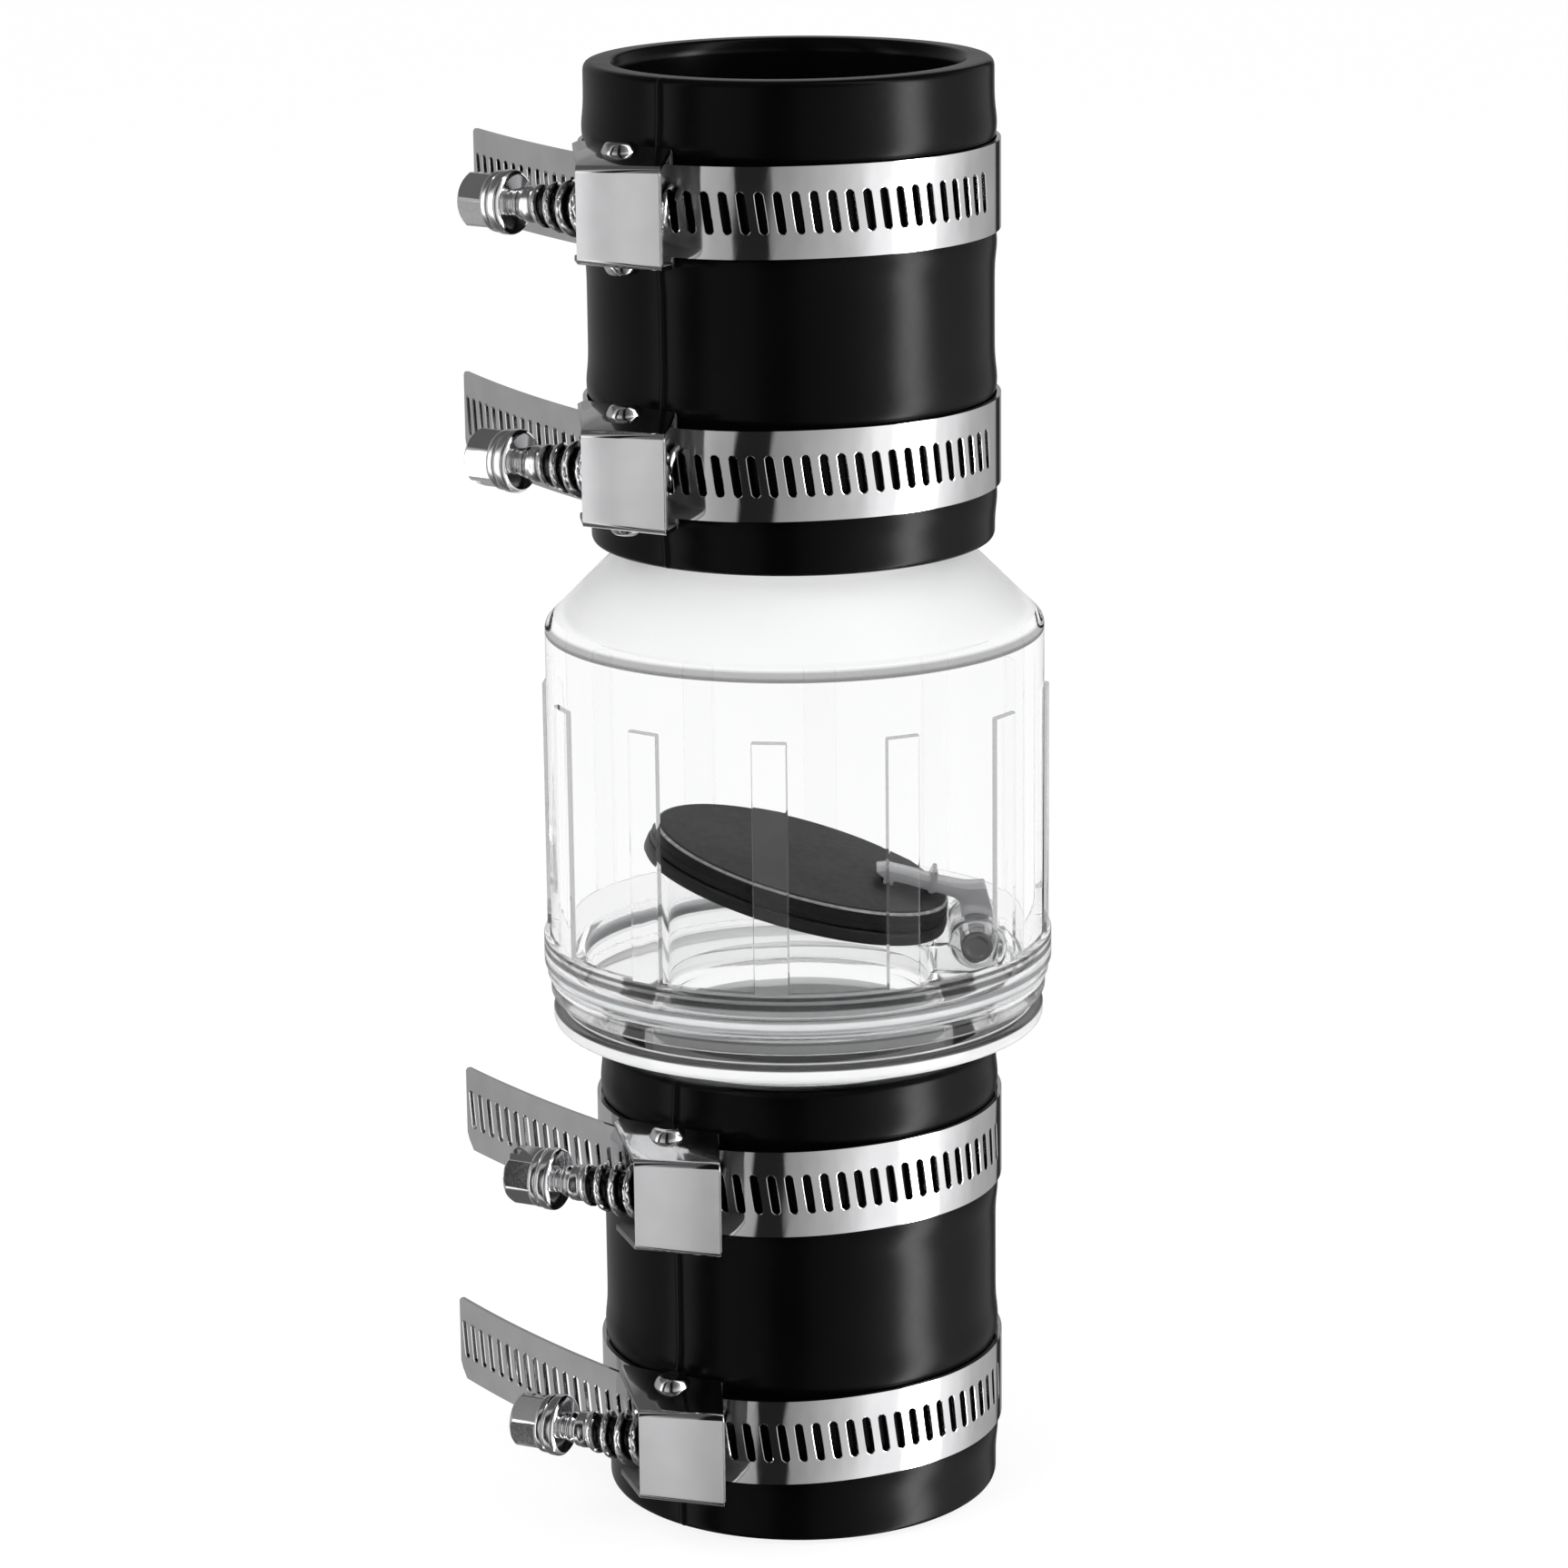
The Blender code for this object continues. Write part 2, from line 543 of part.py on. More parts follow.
def hinge_arm(hinge):
    """The arm: a strap over the flap with a foot, a stand at the flap's edge, and the barrel on the pin."""
    pin_x, pin_z = pin_on_seat()
    start = strap_start()
    low = flap_top() + STRAP_LIFT
    high = low + STRAP_THICKNESS
    edge_x = FLAP_OFFSET + FLAP_RADIUS - STAND_INSET
    foot_left = start + STRAP_TIP
    foot_right = foot_left + FOOT_WIDTH
    foot_low = flap_top() - FOOT_DEPTH
    stand_low = flap_top() + SNUG
    stand_high = high + STAND_HEIGHT
    outline = [(start, (low + high) / 2), (foot_left, low), (foot_left, foot_low), (foot_right, foot_low)]
    outline += [(foot_right, low), (edge_x - STAND_THICKNESS, low), (edge_x - STAND_THICKNESS, stand_low)]
    outline += [(edge_x, stand_low), (edge_x, low), (pin_x - BARREL_RADIUS * 0.7, low)]
    outline += [(pin_x - BARREL_RADIUS * 0.7, pin_z), (pin_x + BARREL_RADIUS * 0.7, pin_z)]
    outline += [(pin_x + BARREL_RADIUS * 0.6, pin_z + BARREL_RADIUS * 0.7), (pin_x - HEEL_INSET, high + HEEL_RISE)]
    outline += [(edge_x, high), (edge_x, stand_high), (edge_x - STAND_THICKNESS, stand_high)]
    outline += [(edge_x - STAND_THICKNESS, high), (foot_left, high)]
    mesh = plate_mesh("hinge_arm", outline, STRAP_WIDTH)
    # The outline's plane becomes the seat frame's XZ plane
    mesh.transform(Matrix.Rotation(math.pi / 2, 4, "X"))
    obj = as_piece("hinge_arm", mesh, SMOKE_PLASTIC)
    on_seat(obj, hinge, 0, 0)
    along_y = Matrix.Translation((PIN_X, 0, PIN_Z)) @ Matrix.Rotation(math.pi / 2, 4, "X")
    for name, radius, operation in (
        ("arm barrel", BARREL_RADIUS, "UNION"),
        ("arm bore", PIN_RADIUS + RUNNING, "DIFFERENCE"),
    ):
        bm = bmesh.new()
        length = ARM_WIDTH if operation == "UNION" else 2 * ARM_WIDTH
        add_cylinder(bm, radius, length, along_y)
        boolean(obj, operation, as_cutter(name, mesh_from(name, bm)))
    return obj


def polar(radius, angle):
    """A point of the clamp's plane: Y faces out through the housing, and X runs towards the screw's head."""
    return Vector((radius * math.sin(angle), radius * math.cos(angle)))


def smooth(share):
    share = min(1.0, max(0.0, share))
    return share * share * (3 - 2 * share)


def layer_radius(angle, layer, blend):
    """Distance of a layer of the band from the axis: flat inside the housing, then bending to the loop."""
    flat_angle = math.atan2(HOUSING_LENGTH / 2, layer)
    if abs(angle) <= flat_angle:
        return layer / math.cos(angle)
    share = min(1.0, (abs(angle) - flat_angle) / blend)
    start = layer / math.cos(flat_angle)
    slope = start * math.tan(flat_angle) * blend
    rise = share * (1 - share) ** 2 * slope
    return start * (1 - smooth(share)) + LOOP_RADIUS * smooth(share) + rise


def band_line(tail_length):
    """The band's centre line: tongue, fixed layer, once round the coupling, free layer, and the loose tail."""
    step = math.radians(0.5)
    half_turn = math.pi
    line = []
    angle = -TONGUE_ANGLE
    while angle < half_turn:
        line.append(polar(layer_radius(angle, FIXED_LAYER, LAP_BLEND), angle))
        angle += step
    flat_angle = math.atan2(HOUSING_LENGTH / 2, FREE_LAYER)
    leave = max(TAIL_LEAVES, flat_angle)
    while angle < 2 * math.pi + leave:
        past = angle - 2 * math.pi
        easing = layer_radius(past, FREE_LAYER, LIFT_BLEND)
        line.append(polar(FREE_LAYER / math.cos(flat_angle) if past > flat_angle else easing, angle))
        angle += step
    leaving = FREE_LAYER / math.cos(flat_angle)
    centre = polar(leaving - TAIL_CURVE, leave)
    steps = 40
    for i in range(steps + 1):
        line.append(centre + polar(TAIL_CURVE, leave + tail_length / TAIL_CURVE * i / steps))
    return line


def spaced(line, distances):
    """Points at these distances along a line."""
    run, points, index = 0.0, [], 0
    for a, b in zip(line, line[1:]):
        length = (b - a).length
        while index < len(distances) and distances[index] <= run + length + 1e-12:
            points.append(a.lerp(b, min(1.0, (distances[index] - run) / length)))
            index += 1
        run += length
    return points


def slot_count(tail_length):
    return round((tail_length + SLOTTED_REACH) / SLOT_PITCH)


def band_stations(tail_length):
    """The band's centre points from the tip back, with a facet for each slot."""
    line = list(reversed(band_line(tail_length)))
    whole = sum((b - a).length for a, b in zip(line, line[1:]))
    slotted = [TIP_MARGIN + SLOT_PITCH * i for i in range(slot_count(tail_length) + 1)]
    rest = whole - slotted[-1]
    plain = max(1, round(rest / BAND_STEP))
    tail = [slotted[-1] + rest * (i + 1) / plain for i in range(plain)]
    tail[-1] = whole - 1e-9
    return spaced(line, [0.0] + slotted + tail)


def band_mesh(tail_length):
    """The strip: its centre line drawn up to the band's width, slotted, then thickened."""
    points = band_stations(tail_length)
    half = BAND_WIDTH / 2
    bm = bmesh.new()
    edges = []
    for point in points:
        low, high = (bm.verts.new((point.x, point.y, height)) for height in (-half, half))
        edges.append((low, high))
    slotted = []
    for i, (near, far) in enumerate(zip(edges, edges[1:])):
        if i == 0:
            cut_tip(bm, near, far)
            continue
        face = bm.faces.new((near[0], far[0], far[1], near[1]))
        if i <= slot_count(tail_length):
            slotted.append(face)
    bmesh.ops.inset_individual(bm, faces=slotted, thickness=SLOT_WIDTH / 4)
    for face in slotted:
        shape_slot(face)
    bmesh.ops.delete(bm, geom=slotted, context="FACES")
    return sheet_mesh("clamp band", mesh_from("clamp band", bm), BAND_THICKNESS)


def cut_tip(bm, end, far):
    """The strip's first facet, with its end's lower corner cut well back and its upper one a little."""
    corners = []
    for corner, other, beyond, cut in ((end[0], end[1], far[0], TIP_CUT), (end[1], end[0], far[1], TIP_TRIM)):
        along = corner.co + (beyond.co - corner.co).normalized() * cut
        corners.append((corner, bm.verts.new(along), corner.co.lerp(other.co, cut / BAND_WIDTH)))
    for corner, _, moved in corners:
        corner.co = moved
    bm.faces.new((end[0], corners[0][1], far[0], far[1], corners[1][1], end[1]))


def shape_slot(face):
    """Moves a facet's inner corners to those of a slot that leans along the strip."""
    low_near, low_far, high_far, high_near = (v.co.copy() for v in face.verts)
    centre = (low_near + low_far + high_far + high_near) / 4
    along = (low_far - low_near).normalized() * SLOT_WIDTH / 2
    up = Vector((0, 0, SLOT_LENGTH / 2)) - along.normalized() * SLOT_LENGTH / 2 * math.tan(SLOT_LEAN)
    for vert, sides in zip(face.verts, ((-1, -1), (1, -1), (1, 1), (-1, 1))):
        vert.co = centre + along * sides[0] + up * sides[1]


def cover_height(place):
    """Height of the tilted cover, which clears the worm where its thread comes to full depth."""
    full_depth = THREAD_TIP + TIP_RUNOUT
    clear = SCREW_DISTANCE + THREAD_RADIUS + CLEAR + HOUSING_SHEET / 2 / math.cos(COVER_TILT)
    return clear + (place - full_depth) * math.tan(COVER_TILT)


def housing_mesh():
    """The screw's housing, folded from sheet: cover, two sides that lean in at one end, and lips below the band."""
    right, left = -HOUSING_LENGTH / 2, HOUSING_LENGTH / 2
    bottom = HOUSING_BOTTOM + HOUSING_SHEET / 2
    cover_right, cover_left = cover_height(right), cover_height(left)
    scoop = left + HOUSING_SCOOP
    foot = right + HOUSING_UNDERCUT
    side = [(foot, bottom), (right, cover_right), (left, cover_left)]
    side += [(scoop, bottom + SCOOP_HEIGHT), (scoop, bottom), (left, bottom)]
    count = len(side)
    points = []
    for sign in (1, -1):
        points += [(t, n, sign * (HOUSING_HALF_WIDTH - HOUSING_TAPER * (n - bottom))) for t, n in side]
    for sign in (1, -1):
        points += [(t, bottom, sign * (HOUSING_HALF_WIDTH - LIP_REACH)) for t in (foot, left)]
    upper, lower = list(range(count)), [count + i for i in range(count)]
    faces = [upper, list(reversed(lower))]
    faces.append([upper[2], upper[1], lower[1], lower[2]])
    faces.append([upper[0], upper[5], 2 * count + 1, 2 * count])
    faces.append([lower[5], lower[0], 2 * count + 2, 2 * count + 3])
    mesh = bpy.data.meshes.new("clamp housing")
    mesh.from_pydata(points, [], faces)
    return sheet_mesh("clamp housing", mesh, HOUSING_SHEET)


def housing_lugs():
    """The half-round lugs pressed out of the housing's two sides."""
    bm = bmesh.new()
    height = HOUSING_BOTTOM + HOUSING_SHEET + LUG_RADIUS
    for sign in (1, -1):
        middle = sign * (HOUSING_HALF_WIDTH - HOUSING_TAPER * LUG_RADIUS + (LUG_PROUD - HOUSING_SHEET) / 2)
        place = Matrix.Translation((LUG_SHIFT, height, middle))
        add_cylinder(bm, LUG_RADIUS, LUG_PROUD + HOUSING_SHEET / 2, place, SCREW_SIDES)
    return as_cutter("housing lugs", mesh_from("housing lugs", bm))


def thread_radius(place, crest):
    """The worm's radius at a place along its axis. The crest rises out of the root at both ends."""
    if not crest:
        return THREAD_ROOT
    rise = min((place - THREAD_TIP) / TIP_RUNOUT, (THREAD_END - place) / NECK_RUNOUT, 1.0)
    return THREAD_ROOT + (THREAD_RADIUS - THREAD_ROOT) * max(0.0, rise)


def hex_radius(angle):
    """Distance to a hexagon's side at an angle from one of its corners."""
    return HEX_ACROSS / 2 / math.cos(angle % (math.pi / 3) - math.pi / 6)


def screw_rings():
    """(place, radius at an angle) of each ring from the end of the thread to the head's face."""
    flange = THREAD_END + SHANK_LENGTH
    head = flange + FLANGE_LENGTH
    face = head + HEX_LENGTH
    rings = [(flange, THREAD_ROOT), (flange, FLANGE_RADIUS - FLANGE_BEVEL)]
    rings += [(flange + FLANGE_BEVEL, FLANGE_RADIUS), (head - FLANGE_BEVEL, FLANGE_RADIUS)]
    rings += [(head, FLANGE_RADIUS - FLANGE_BEVEL)]
    made = [(place, lambda angle, r=radius: r) for place, radius in rings]
    made += [(head, hex_radius), (face - HEX_BEVEL, hex_radius)]
    made += [(face, lambda angle: HEX_ACROSS / 2 - HEX_BEVEL / 2)]
    return made


def screw_mesh():
    """The clamp screw along X: a worm with one start, its shank, flange and hexagon head."""
    share_of_pitch = ((0.0, False), (0.5, True))
    rows_per_turn = len(share_of_pitch)
    turns = math.ceil((THREAD_END - THREAD_TIP) / SLOT_PITCH) + 2
    bm = bmesh.new()

    def point(place, radius, side):
        angle = 2 * math.pi * side / SCREW_SIDES
        return bm.verts.new((place, radius * math.cos(angle), radius * math.sin(angle)))

    rows = []
    for row in range(turns * rows_per_turn + 1):
        share, crest = share_of_pitch[row % rows_per_turn]
        ring = []
        for side in range(SCREW_SIDES):
            along = row // rows_per_turn + share + side / SCREW_SIDES - 1
            place = min(THREAD_END, max(THREAD_TIP, THREAD_TIP + SLOT_PITCH * along))
            ring.append(point(place, thread_radius(place, crest), side))
        rows.append(ring)
    for low, high in zip(range(len(rows) - 1), range(1, len(rows))):
        for side in range(SCREW_SIDES - 1):
            corners = (rows[low][side], rows[low][side + 1], rows[high][side + 1], rows[high][side])
            bm.faces.new(corners)
        # The last column meets the first one a whole turn further on
        ahead, beyond = low + rows_per_turn, high + rows_per_turn
        if beyond < len(rows):
            bm.faces.new((rows[low][-1], rows[ahead][0], rows[beyond][0], rows[high][-1]))
    last = rows[-1]
    bmesh.ops.remove_doubles(bm, verts=bm.verts, dist=WELD)
    bmesh.ops.dissolve_degenerate(bm, edges=bm.edges, dist=WELD)
    last = ring_at(bm, THREAD_END)
    for place, radius_at in screw_rings():
        ring = []
        for side in range(SCREW_SIDES):
            ring.append(point(place, radius_at(2 * math.pi * side / SCREW_SIDES), side))
        for side in range(SCREW_SIDES):
            after = (side + 1) % SCREW_SIDES
            bm.faces.new((last[side], last[after], ring[after], ring[side]))
        last = ring
    bm.faces.new(last)
    bm.faces.new(list(reversed(ring_at(bm, THREAD_TIP))))
    bmesh.ops.recalc_face_normals(bm, faces=bm.faces)
    mesh = mesh_from("clamp screw", bm)
    shade_round(mesh, math.radians(40.0))
    return mesh


def ring_at(bm, place):
    """The vertices at one end of the thread, in order of angle."""
    found = [v for v in bm.verts if abs(v.co.x - place) < WELD]
    return sorted(found, key=lambda v: math.atan2(v.co.z, v.co.y) % (2 * math.pi - WELD))


def clamp(name, height, turn, tail, meshes):
    """A worm-drive clamp, built about an empty at the middle of its band."""
    frame = in_collection("sump pump non-return valve", bpy.data.objects.new(name, None))
    frame.location.z = height
    frame.rotation_euler.z = math.pi - turn
    as_piece(name + "_band", finished(band_mesh(tail), STEEL), STEEL, frame)
    as_piece(name + "_housing", meshes["housing"], STEEL, frame)
    screw = as_piece(name + "_screw", meshes["screw"], PLATED_STEEL, frame)
    screw.location.y = SCREW_DISTANCE
    return frame


def finished(mesh, finish):
    mesh.materials.append(material_of(finish))
    shade_round(mesh)
    return mesh


def cut_copy(name, mesh, operation, cutter, finish):
    """The mesh of a shape after its Boolean, so that the four clamps share it."""
    obj = bpy.data.objects.new(name, mesh)
    bpy.context.scene.collection.objects.link(obj)
    boolean(obj, operation, cutter)
    return finished(baked(obj), finish)


def drive_slot():
    """The cutter for the screwdriver's slot across the head."""
    face = THREAD_END + SHANK_LENGTH + FLANGE_LENGTH + HEX_LENGTH
    bm = bmesh.new()
    add_box(bm, (2 * DRIVE_DEPTH, 2 * HEX_ACROSS, DRIVE_WIDTH), Matrix.Translation((face, 0, 0)))
    return as_cutter("drive slot", mesh_from("drive slot", bm))


def clamps():
    meshes = {
        "housing": cut_copy("clamp housing", housing_mesh(), "UNION", housing_lugs(), STEEL),
        "screw": cut_copy("clamp screw", screw_mesh(), "DIFFERENCE", drive_slot(), PLATED_STEEL),
    }
    upper = OUTLET_COUPLING_BOTTOM
    places = (
        ("outlet_end_clamp", upper + COUPLING_LENGTH - OUTLET_INSET, OUTLET_CLAMP_TURN, OUTLET_END_TAIL),
        ("outlet_neck_clamp", upper + NECK_INSET, OUTLET_CLAMP_TURN, OUTLET_NECK_TAIL),
        ("inlet_neck_clamp", COUPLING_LENGTH - NECK_INSET, INLET_CLAMP_TURN, INLET_NECK_TAIL),
        ("inlet_end_clamp", INLET_INSET, INLET_CLAMP_TURN, INLET_END_TAIL),
    )
    for name, height, turn, tail in places:
        clamp(name, height, turn, tail, meshes)


def main():
    clear_scene()
    coupling("inlet_coupling", 0)
    coupling("outlet_coupling", OUTLET_COUPLING_BOTTOM)
    chamber()
    base()
    seal_ring()
    hinge_pin()
    hinge = flap_empty()
    flap_facing(hinge)
    flap_disc(hinge)
    hinge_arm(hinge)
    clamps()


main()
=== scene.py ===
"""Looks of a sump pump non-return valve: clear chamber, hinged flap, rubber couplings and band clamps.

Shapes are drawn in millimetres about the valve's axis, with the inlet end at the origin and +Z the way
the water flows. A piece is scaled to metres when it is finished.
"""
import logging
import math
from dataclasses import dataclass, replace
from enum import Enum, IntEnum
from typing import Callable, Iterable, Optional, Sequence

import bmesh
import bpy
from mathutils import Matrix, Vector


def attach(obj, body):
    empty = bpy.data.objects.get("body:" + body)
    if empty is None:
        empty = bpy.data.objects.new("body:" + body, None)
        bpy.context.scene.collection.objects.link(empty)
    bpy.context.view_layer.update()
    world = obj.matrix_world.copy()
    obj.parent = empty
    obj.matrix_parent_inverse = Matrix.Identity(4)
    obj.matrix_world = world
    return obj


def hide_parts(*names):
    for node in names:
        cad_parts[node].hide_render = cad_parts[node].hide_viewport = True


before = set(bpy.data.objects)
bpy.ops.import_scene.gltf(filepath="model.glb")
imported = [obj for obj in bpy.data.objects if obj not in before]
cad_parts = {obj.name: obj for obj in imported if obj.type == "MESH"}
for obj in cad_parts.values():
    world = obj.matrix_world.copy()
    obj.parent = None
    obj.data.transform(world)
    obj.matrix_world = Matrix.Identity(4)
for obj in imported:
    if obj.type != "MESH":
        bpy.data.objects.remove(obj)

LOG = logging.getLogger("valve")
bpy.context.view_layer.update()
MM = 0.001
# In millimetres: points closer than WELD are one, edges shorter than SLIVER go, and grids join over SEAM
WELD = 0.0008
SLIVER = 0.0004
SEAM = 0.002
# A radius under this is a point on the axis
ON_AXIS = 1e-6
# How much of a side the rounding of one corner may take
NEAR_HALF = 0.48
# The angle past which an edge stays sharp, where a piece says nothing else
SOFT_EDGE = math.radians(34.0)
# Depth of the skins' fine detail, in metres
BUMP_DEPTH = 0.0001
# Colours in linear light: of a face seen from inside its plastic, painted light; of painted shade on moulded
# edges, corners and grooves; and of painted shade at the bottom of a screw's groove
PAINTED_LIGHT_INSIDE = (0.99, 0.99, 0.99, 1.0)
PAINTED_SHADE_COLOUR = (0.010, 0.010, 0.010, 1.0)
PAINTED_GROOVE_SHADE = (0.004, 0.004, 0.004, 1.0)
Outline = list[tuple[float, float]]
Socket = bpy.types.NodeSocket


# Finishes


class NodeBench:
    """A node tree under construction, with short ways to add and join its nodes."""

    def __init__(self, tree: bpy.types.NodeTree) -> None:
        """Keeps the tree that nodes are added to."""
        self.tree = tree

    def add(self, kind: str, settings: Optional[dict] = None, **inputs: object) -> bpy.types.Node:
        """Adds a node.

        Args:
            kind: The node's type name.
            settings: Properties of the node itself.
            inputs: Values or sockets for its inputs, with _ for a space in the input's name.

        Returns:
            The node.
        """
        node = self.tree.nodes.new(kind)
        for name, value in (settings or {}).items():
            setattr(node, name, value)
        for name, value in inputs.items():
            self.feed(node.inputs[name.replace("_", " ")], value)
        return node

    def feed(self, socket: Socket, value: object) -> None:
        """Links a socket to an input, or sets the input's own value.

        Args:
            socket: The input.
            value: The socket to link, or the value to set.
        """
        if isinstance(value, bpy.types.NodeSocket):
            self.tree.links.new(value, socket)
        else:
            socket.default_value = value

    def math(self, operation: str, *values: object, kind: str = "ShaderNodeMath") -> Socket:
        """Adds a node that works with numbers.

        Args:
            operation: Its operation.
            values: Numbers or sockets for its inputs, in order.
            kind: The node's type name.

        Returns:
            Its output.
        """
        node = self.add(kind, {"operation": operation})
        for socket, value in zip(node.inputs, values):
            self.feed(socket, value)
        return node.outputs[0]

    def vector(self, operation: str, *values: object) -> Socket:
        """Adds a node that works with vectors, as math does with numbers."""
        return self.math(operation, *values, kind="ShaderNodeVectorMath")

    def scaled(self, value: object, times: object) -> Socket:
        """Multiplies a number."""
        return self.math("MULTIPLY", value, times)

    def ramp(self, value: object, low: float, high: float, to_low: float, to_high: float) -> Socket:
        """Maps a range of a value on to another, held at both ends.

        Args:
            value: The value.
            low: Where its range starts.
            high: Where it ends.
            to_low: The result at the start.
            to_high: The result at the end.

        Returns:
            The result.
        """
        node = self.add("ShaderNodeMapRange")
        for index, entry in enumerate((value, low, high, to_low, to_high)):
            self.feed(node.inputs[index], entry)
        return node.outputs[0]

    def profile(self, value: object, stops: Sequence[tuple[float, float]]) -> Socket:
        """Reads a value off a line drawn through stops.

        Args:
            value: The value, or its socket.
            stops: Place and level of each stop, in order.

        Returns:
            The level at the value, held at both ends.
        """
        low, high = stops[0][0], stops[-1][0]
        strongest = max(level for _, level in stops)
        node = self.add("ShaderNodeValToRGB", Fac=self.ramp(value, low, high, 0.0, 1.0))
        elements = node.color_ramp.elements
        while len(elements) > 1:
            elements.remove(elements[-1])
        for i, (place, level) in enumerate(stops):
            spot = (place - low) / (high - low)
            element = elements[0] if i == 0 else elements.new(spot)
            element.position = spot
            element.color = (*(3 * (level / strongest,)), 1.0)
        return self.scaled(node.outputs[0], strongest)

    def mixed(self, share: object, first: object, second: object, kind: str = "RGBA") -> Socket:
        """Mixes two colours, or two numbers.

        Args:
            share: How far the mix has gone, from 0 to 1.
            first: The colour or number at 0.
            second: The colour or number at 1.
            kind: RGBA for colours, VALUE for numbers.

        Returns:
            The mix.
        """
        node = self.add("ShaderNodeMix", {"data_type": "FLOAT" if kind == "VALUE" else kind}, Factor=share)
        ends = (s for s in node.inputs if s.type == kind and s.name in ("A", "B"))
        for socket, value in zip(ends, (first, second)):
            self.feed(socket, value)
        return next(s for s in node.outputs if s.type == kind)

    def between(self, share: object, first: object, second: object) -> Socket:
        """Mixes two numbers, from the first at 0 to the second at 1."""
        return self.mixed(share, first, second, "VALUE")

    def shaders(self, share: object, first: Socket, second: Socket) -> Socket:
        """Mixes two shaders.

        Args:
            share: How far the mix has gone, from 0 to 1.
            first: The shader at 0.
            second: The shader at 1.

        Returns:
            The mix.
        """
        node = self.add("ShaderNodeMixShader")
        for socket, value in zip(node.inputs, (share, first, second)):
            self.feed(socket, value)
        return node.outputs[0]


def add_inputs(tree: bpy.types.NodeTree, inputs: Sequence[tuple[str, str, object]]) -> None:
    """Gives a tree its inputs.

    Args:
        tree: The tree.
        inputs: Name, socket type and default of each input.
    """
    for label, kind, default in inputs:
        made = tree.interface.new_socket(label, in_out="INPUT", socket_type=kind)
        if default is not None:
            made.default_value = default


def shader_group(
    name: str, inputs: Sequence[tuple[str, str, object]]
) -> tuple[NodeBench, bpy.types.Node, bpy.types.Node]:
    """Makes a shader node group for a skin, which puts out roughness, height and smear.

    Args:
        name: The group's name.
        inputs: Name, socket type and default of each input.

    Returns:
        The group's bench, and its input and output nodes.
    """
    tree = bpy.data.node_groups.new(name, "ShaderNodeTree")
    add_inputs(tree, inputs)
    for label in ("Roughness", "Height", "Smear"):
        tree.interface.new_socket(label, in_out="OUTPUT", socket_type="NodeSocketFloat")
    return NodeBench(tree), tree.nodes.new("NodeGroupInput"), tree.nodes.new("NodeGroupOutput")


def moulded_grain() -> bpy.types.NodeTree:
    """Makes the fine pebbled skin of a moulded surface, with broader soft smears from handling.

    Returns:
        The skin's node group.
    """
    bench, first, last = shader_group(
        Skin.MOULDED.value,
        (
            ("Vector", "NodeSocketVector", None),
            ("Grain Scale", "NodeSocketFloat", 900.0),
            ("Smear Scale", "NodeSocketFloat", 35.0),
            ("Low", "NodeSocketFloat", 0.3),
            ("High", "NodeSocketFloat", 0.5),
        ),
    )
    vector = first.outputs["Vector"]
    grain = bench.add("ShaderNodeTexNoise", Vector=vector, Scale=first.outputs["Grain Scale"], Detail=3.0)
    smear = bench.add("ShaderNodeTexNoise", Vector=vector, Scale=first.outputs["Smear Scale"], Detail=4.0)
    blend = bench.math("ADD", bench.scaled(grain.outputs[0], 0.35), bench.scaled(smear.outputs[0], 0.65))
    rough = bench.ramp(blend, 0.36, 0.64, first.outputs["Low"], first.outputs["High"])
    return put_out(bench, last, rough, grain.outputs[0], smear.outputs[0])


def drawn_metal() -> bpy.types.NodeTree:
    """Makes the fine lines of rolled or brushed metal, longest across the axis they are packed on.

    Returns:
        The skin's node group.
    """
    bench, first, last = shader_group(
        Skin.DRAWN.value,
        (
            ("Vector", "NodeSocketVector", None),
            ("Packing", "NodeSocketVector", (1.0, 1.0, 1.0)),
            ("Low", "NodeSocketFloat", 0.1),
            ("High", "NodeSocketFloat", 0.2),
        ),
    )
    vector = first.outputs["Vector"]
    packed = bench.vector("MULTIPLY", vector, first.outputs["Packing"])
    lines = bench.add("ShaderNodeTexNoise", Vector=packed, Scale=1.0, Detail=5.0, Roughness=0.6)
    smear = bench.add("ShaderNodeTexNoise", Vector=vector, Scale=120.0, Detail=3.0)
    blend = bench.math("ADD", bench.scaled(lines.outputs[0], 0.6), bench.scaled(smear.outputs[0], 0.4))
    rough = bench.ramp(blend, 0.35, 0.65, first.outputs["Low"], first.outputs["High"])
    return put_out(bench, last, rough, lines.outputs[0], smear.outputs[0])


def put_out(
    bench: NodeBench, last: bpy.types.Node, rough: Socket, detail: Socket, smear: Socket
) -> bpy.types.NodeTree:
    """Links what a skin's group puts out.

    Args:
        bench: The group's nodes.
        last: Its output node.
        rough: The roughness.
        detail: The fine detail, which is the height.
        smear: The broad smears, whose middle range is put out from 0 to 1.

    Returns:
        The group.
    """
    bench.feed(last.inputs["Roughness"], rough)
    bench.feed(last.inputs["Height"], detail)
    bench.feed(last.inputs["Smear"], bench.ramp(smear, 0.35, 0.65, 0.0, 1.0))
    return bench.tree


class Skin(Enum):
    """What the fine detail of a finish is."""

    MOULDED = "moulded grain"
    DRAWN = "drawn metal"

    def group(self) -> bpy.types.NodeTree:
        """The skin's node group, made once."""
        makers = {Skin.MOULDED: moulded_grain, Skin.DRAWN: drawn_metal}
        return bpy.data.node_groups.get(self.value) or makers[self]()


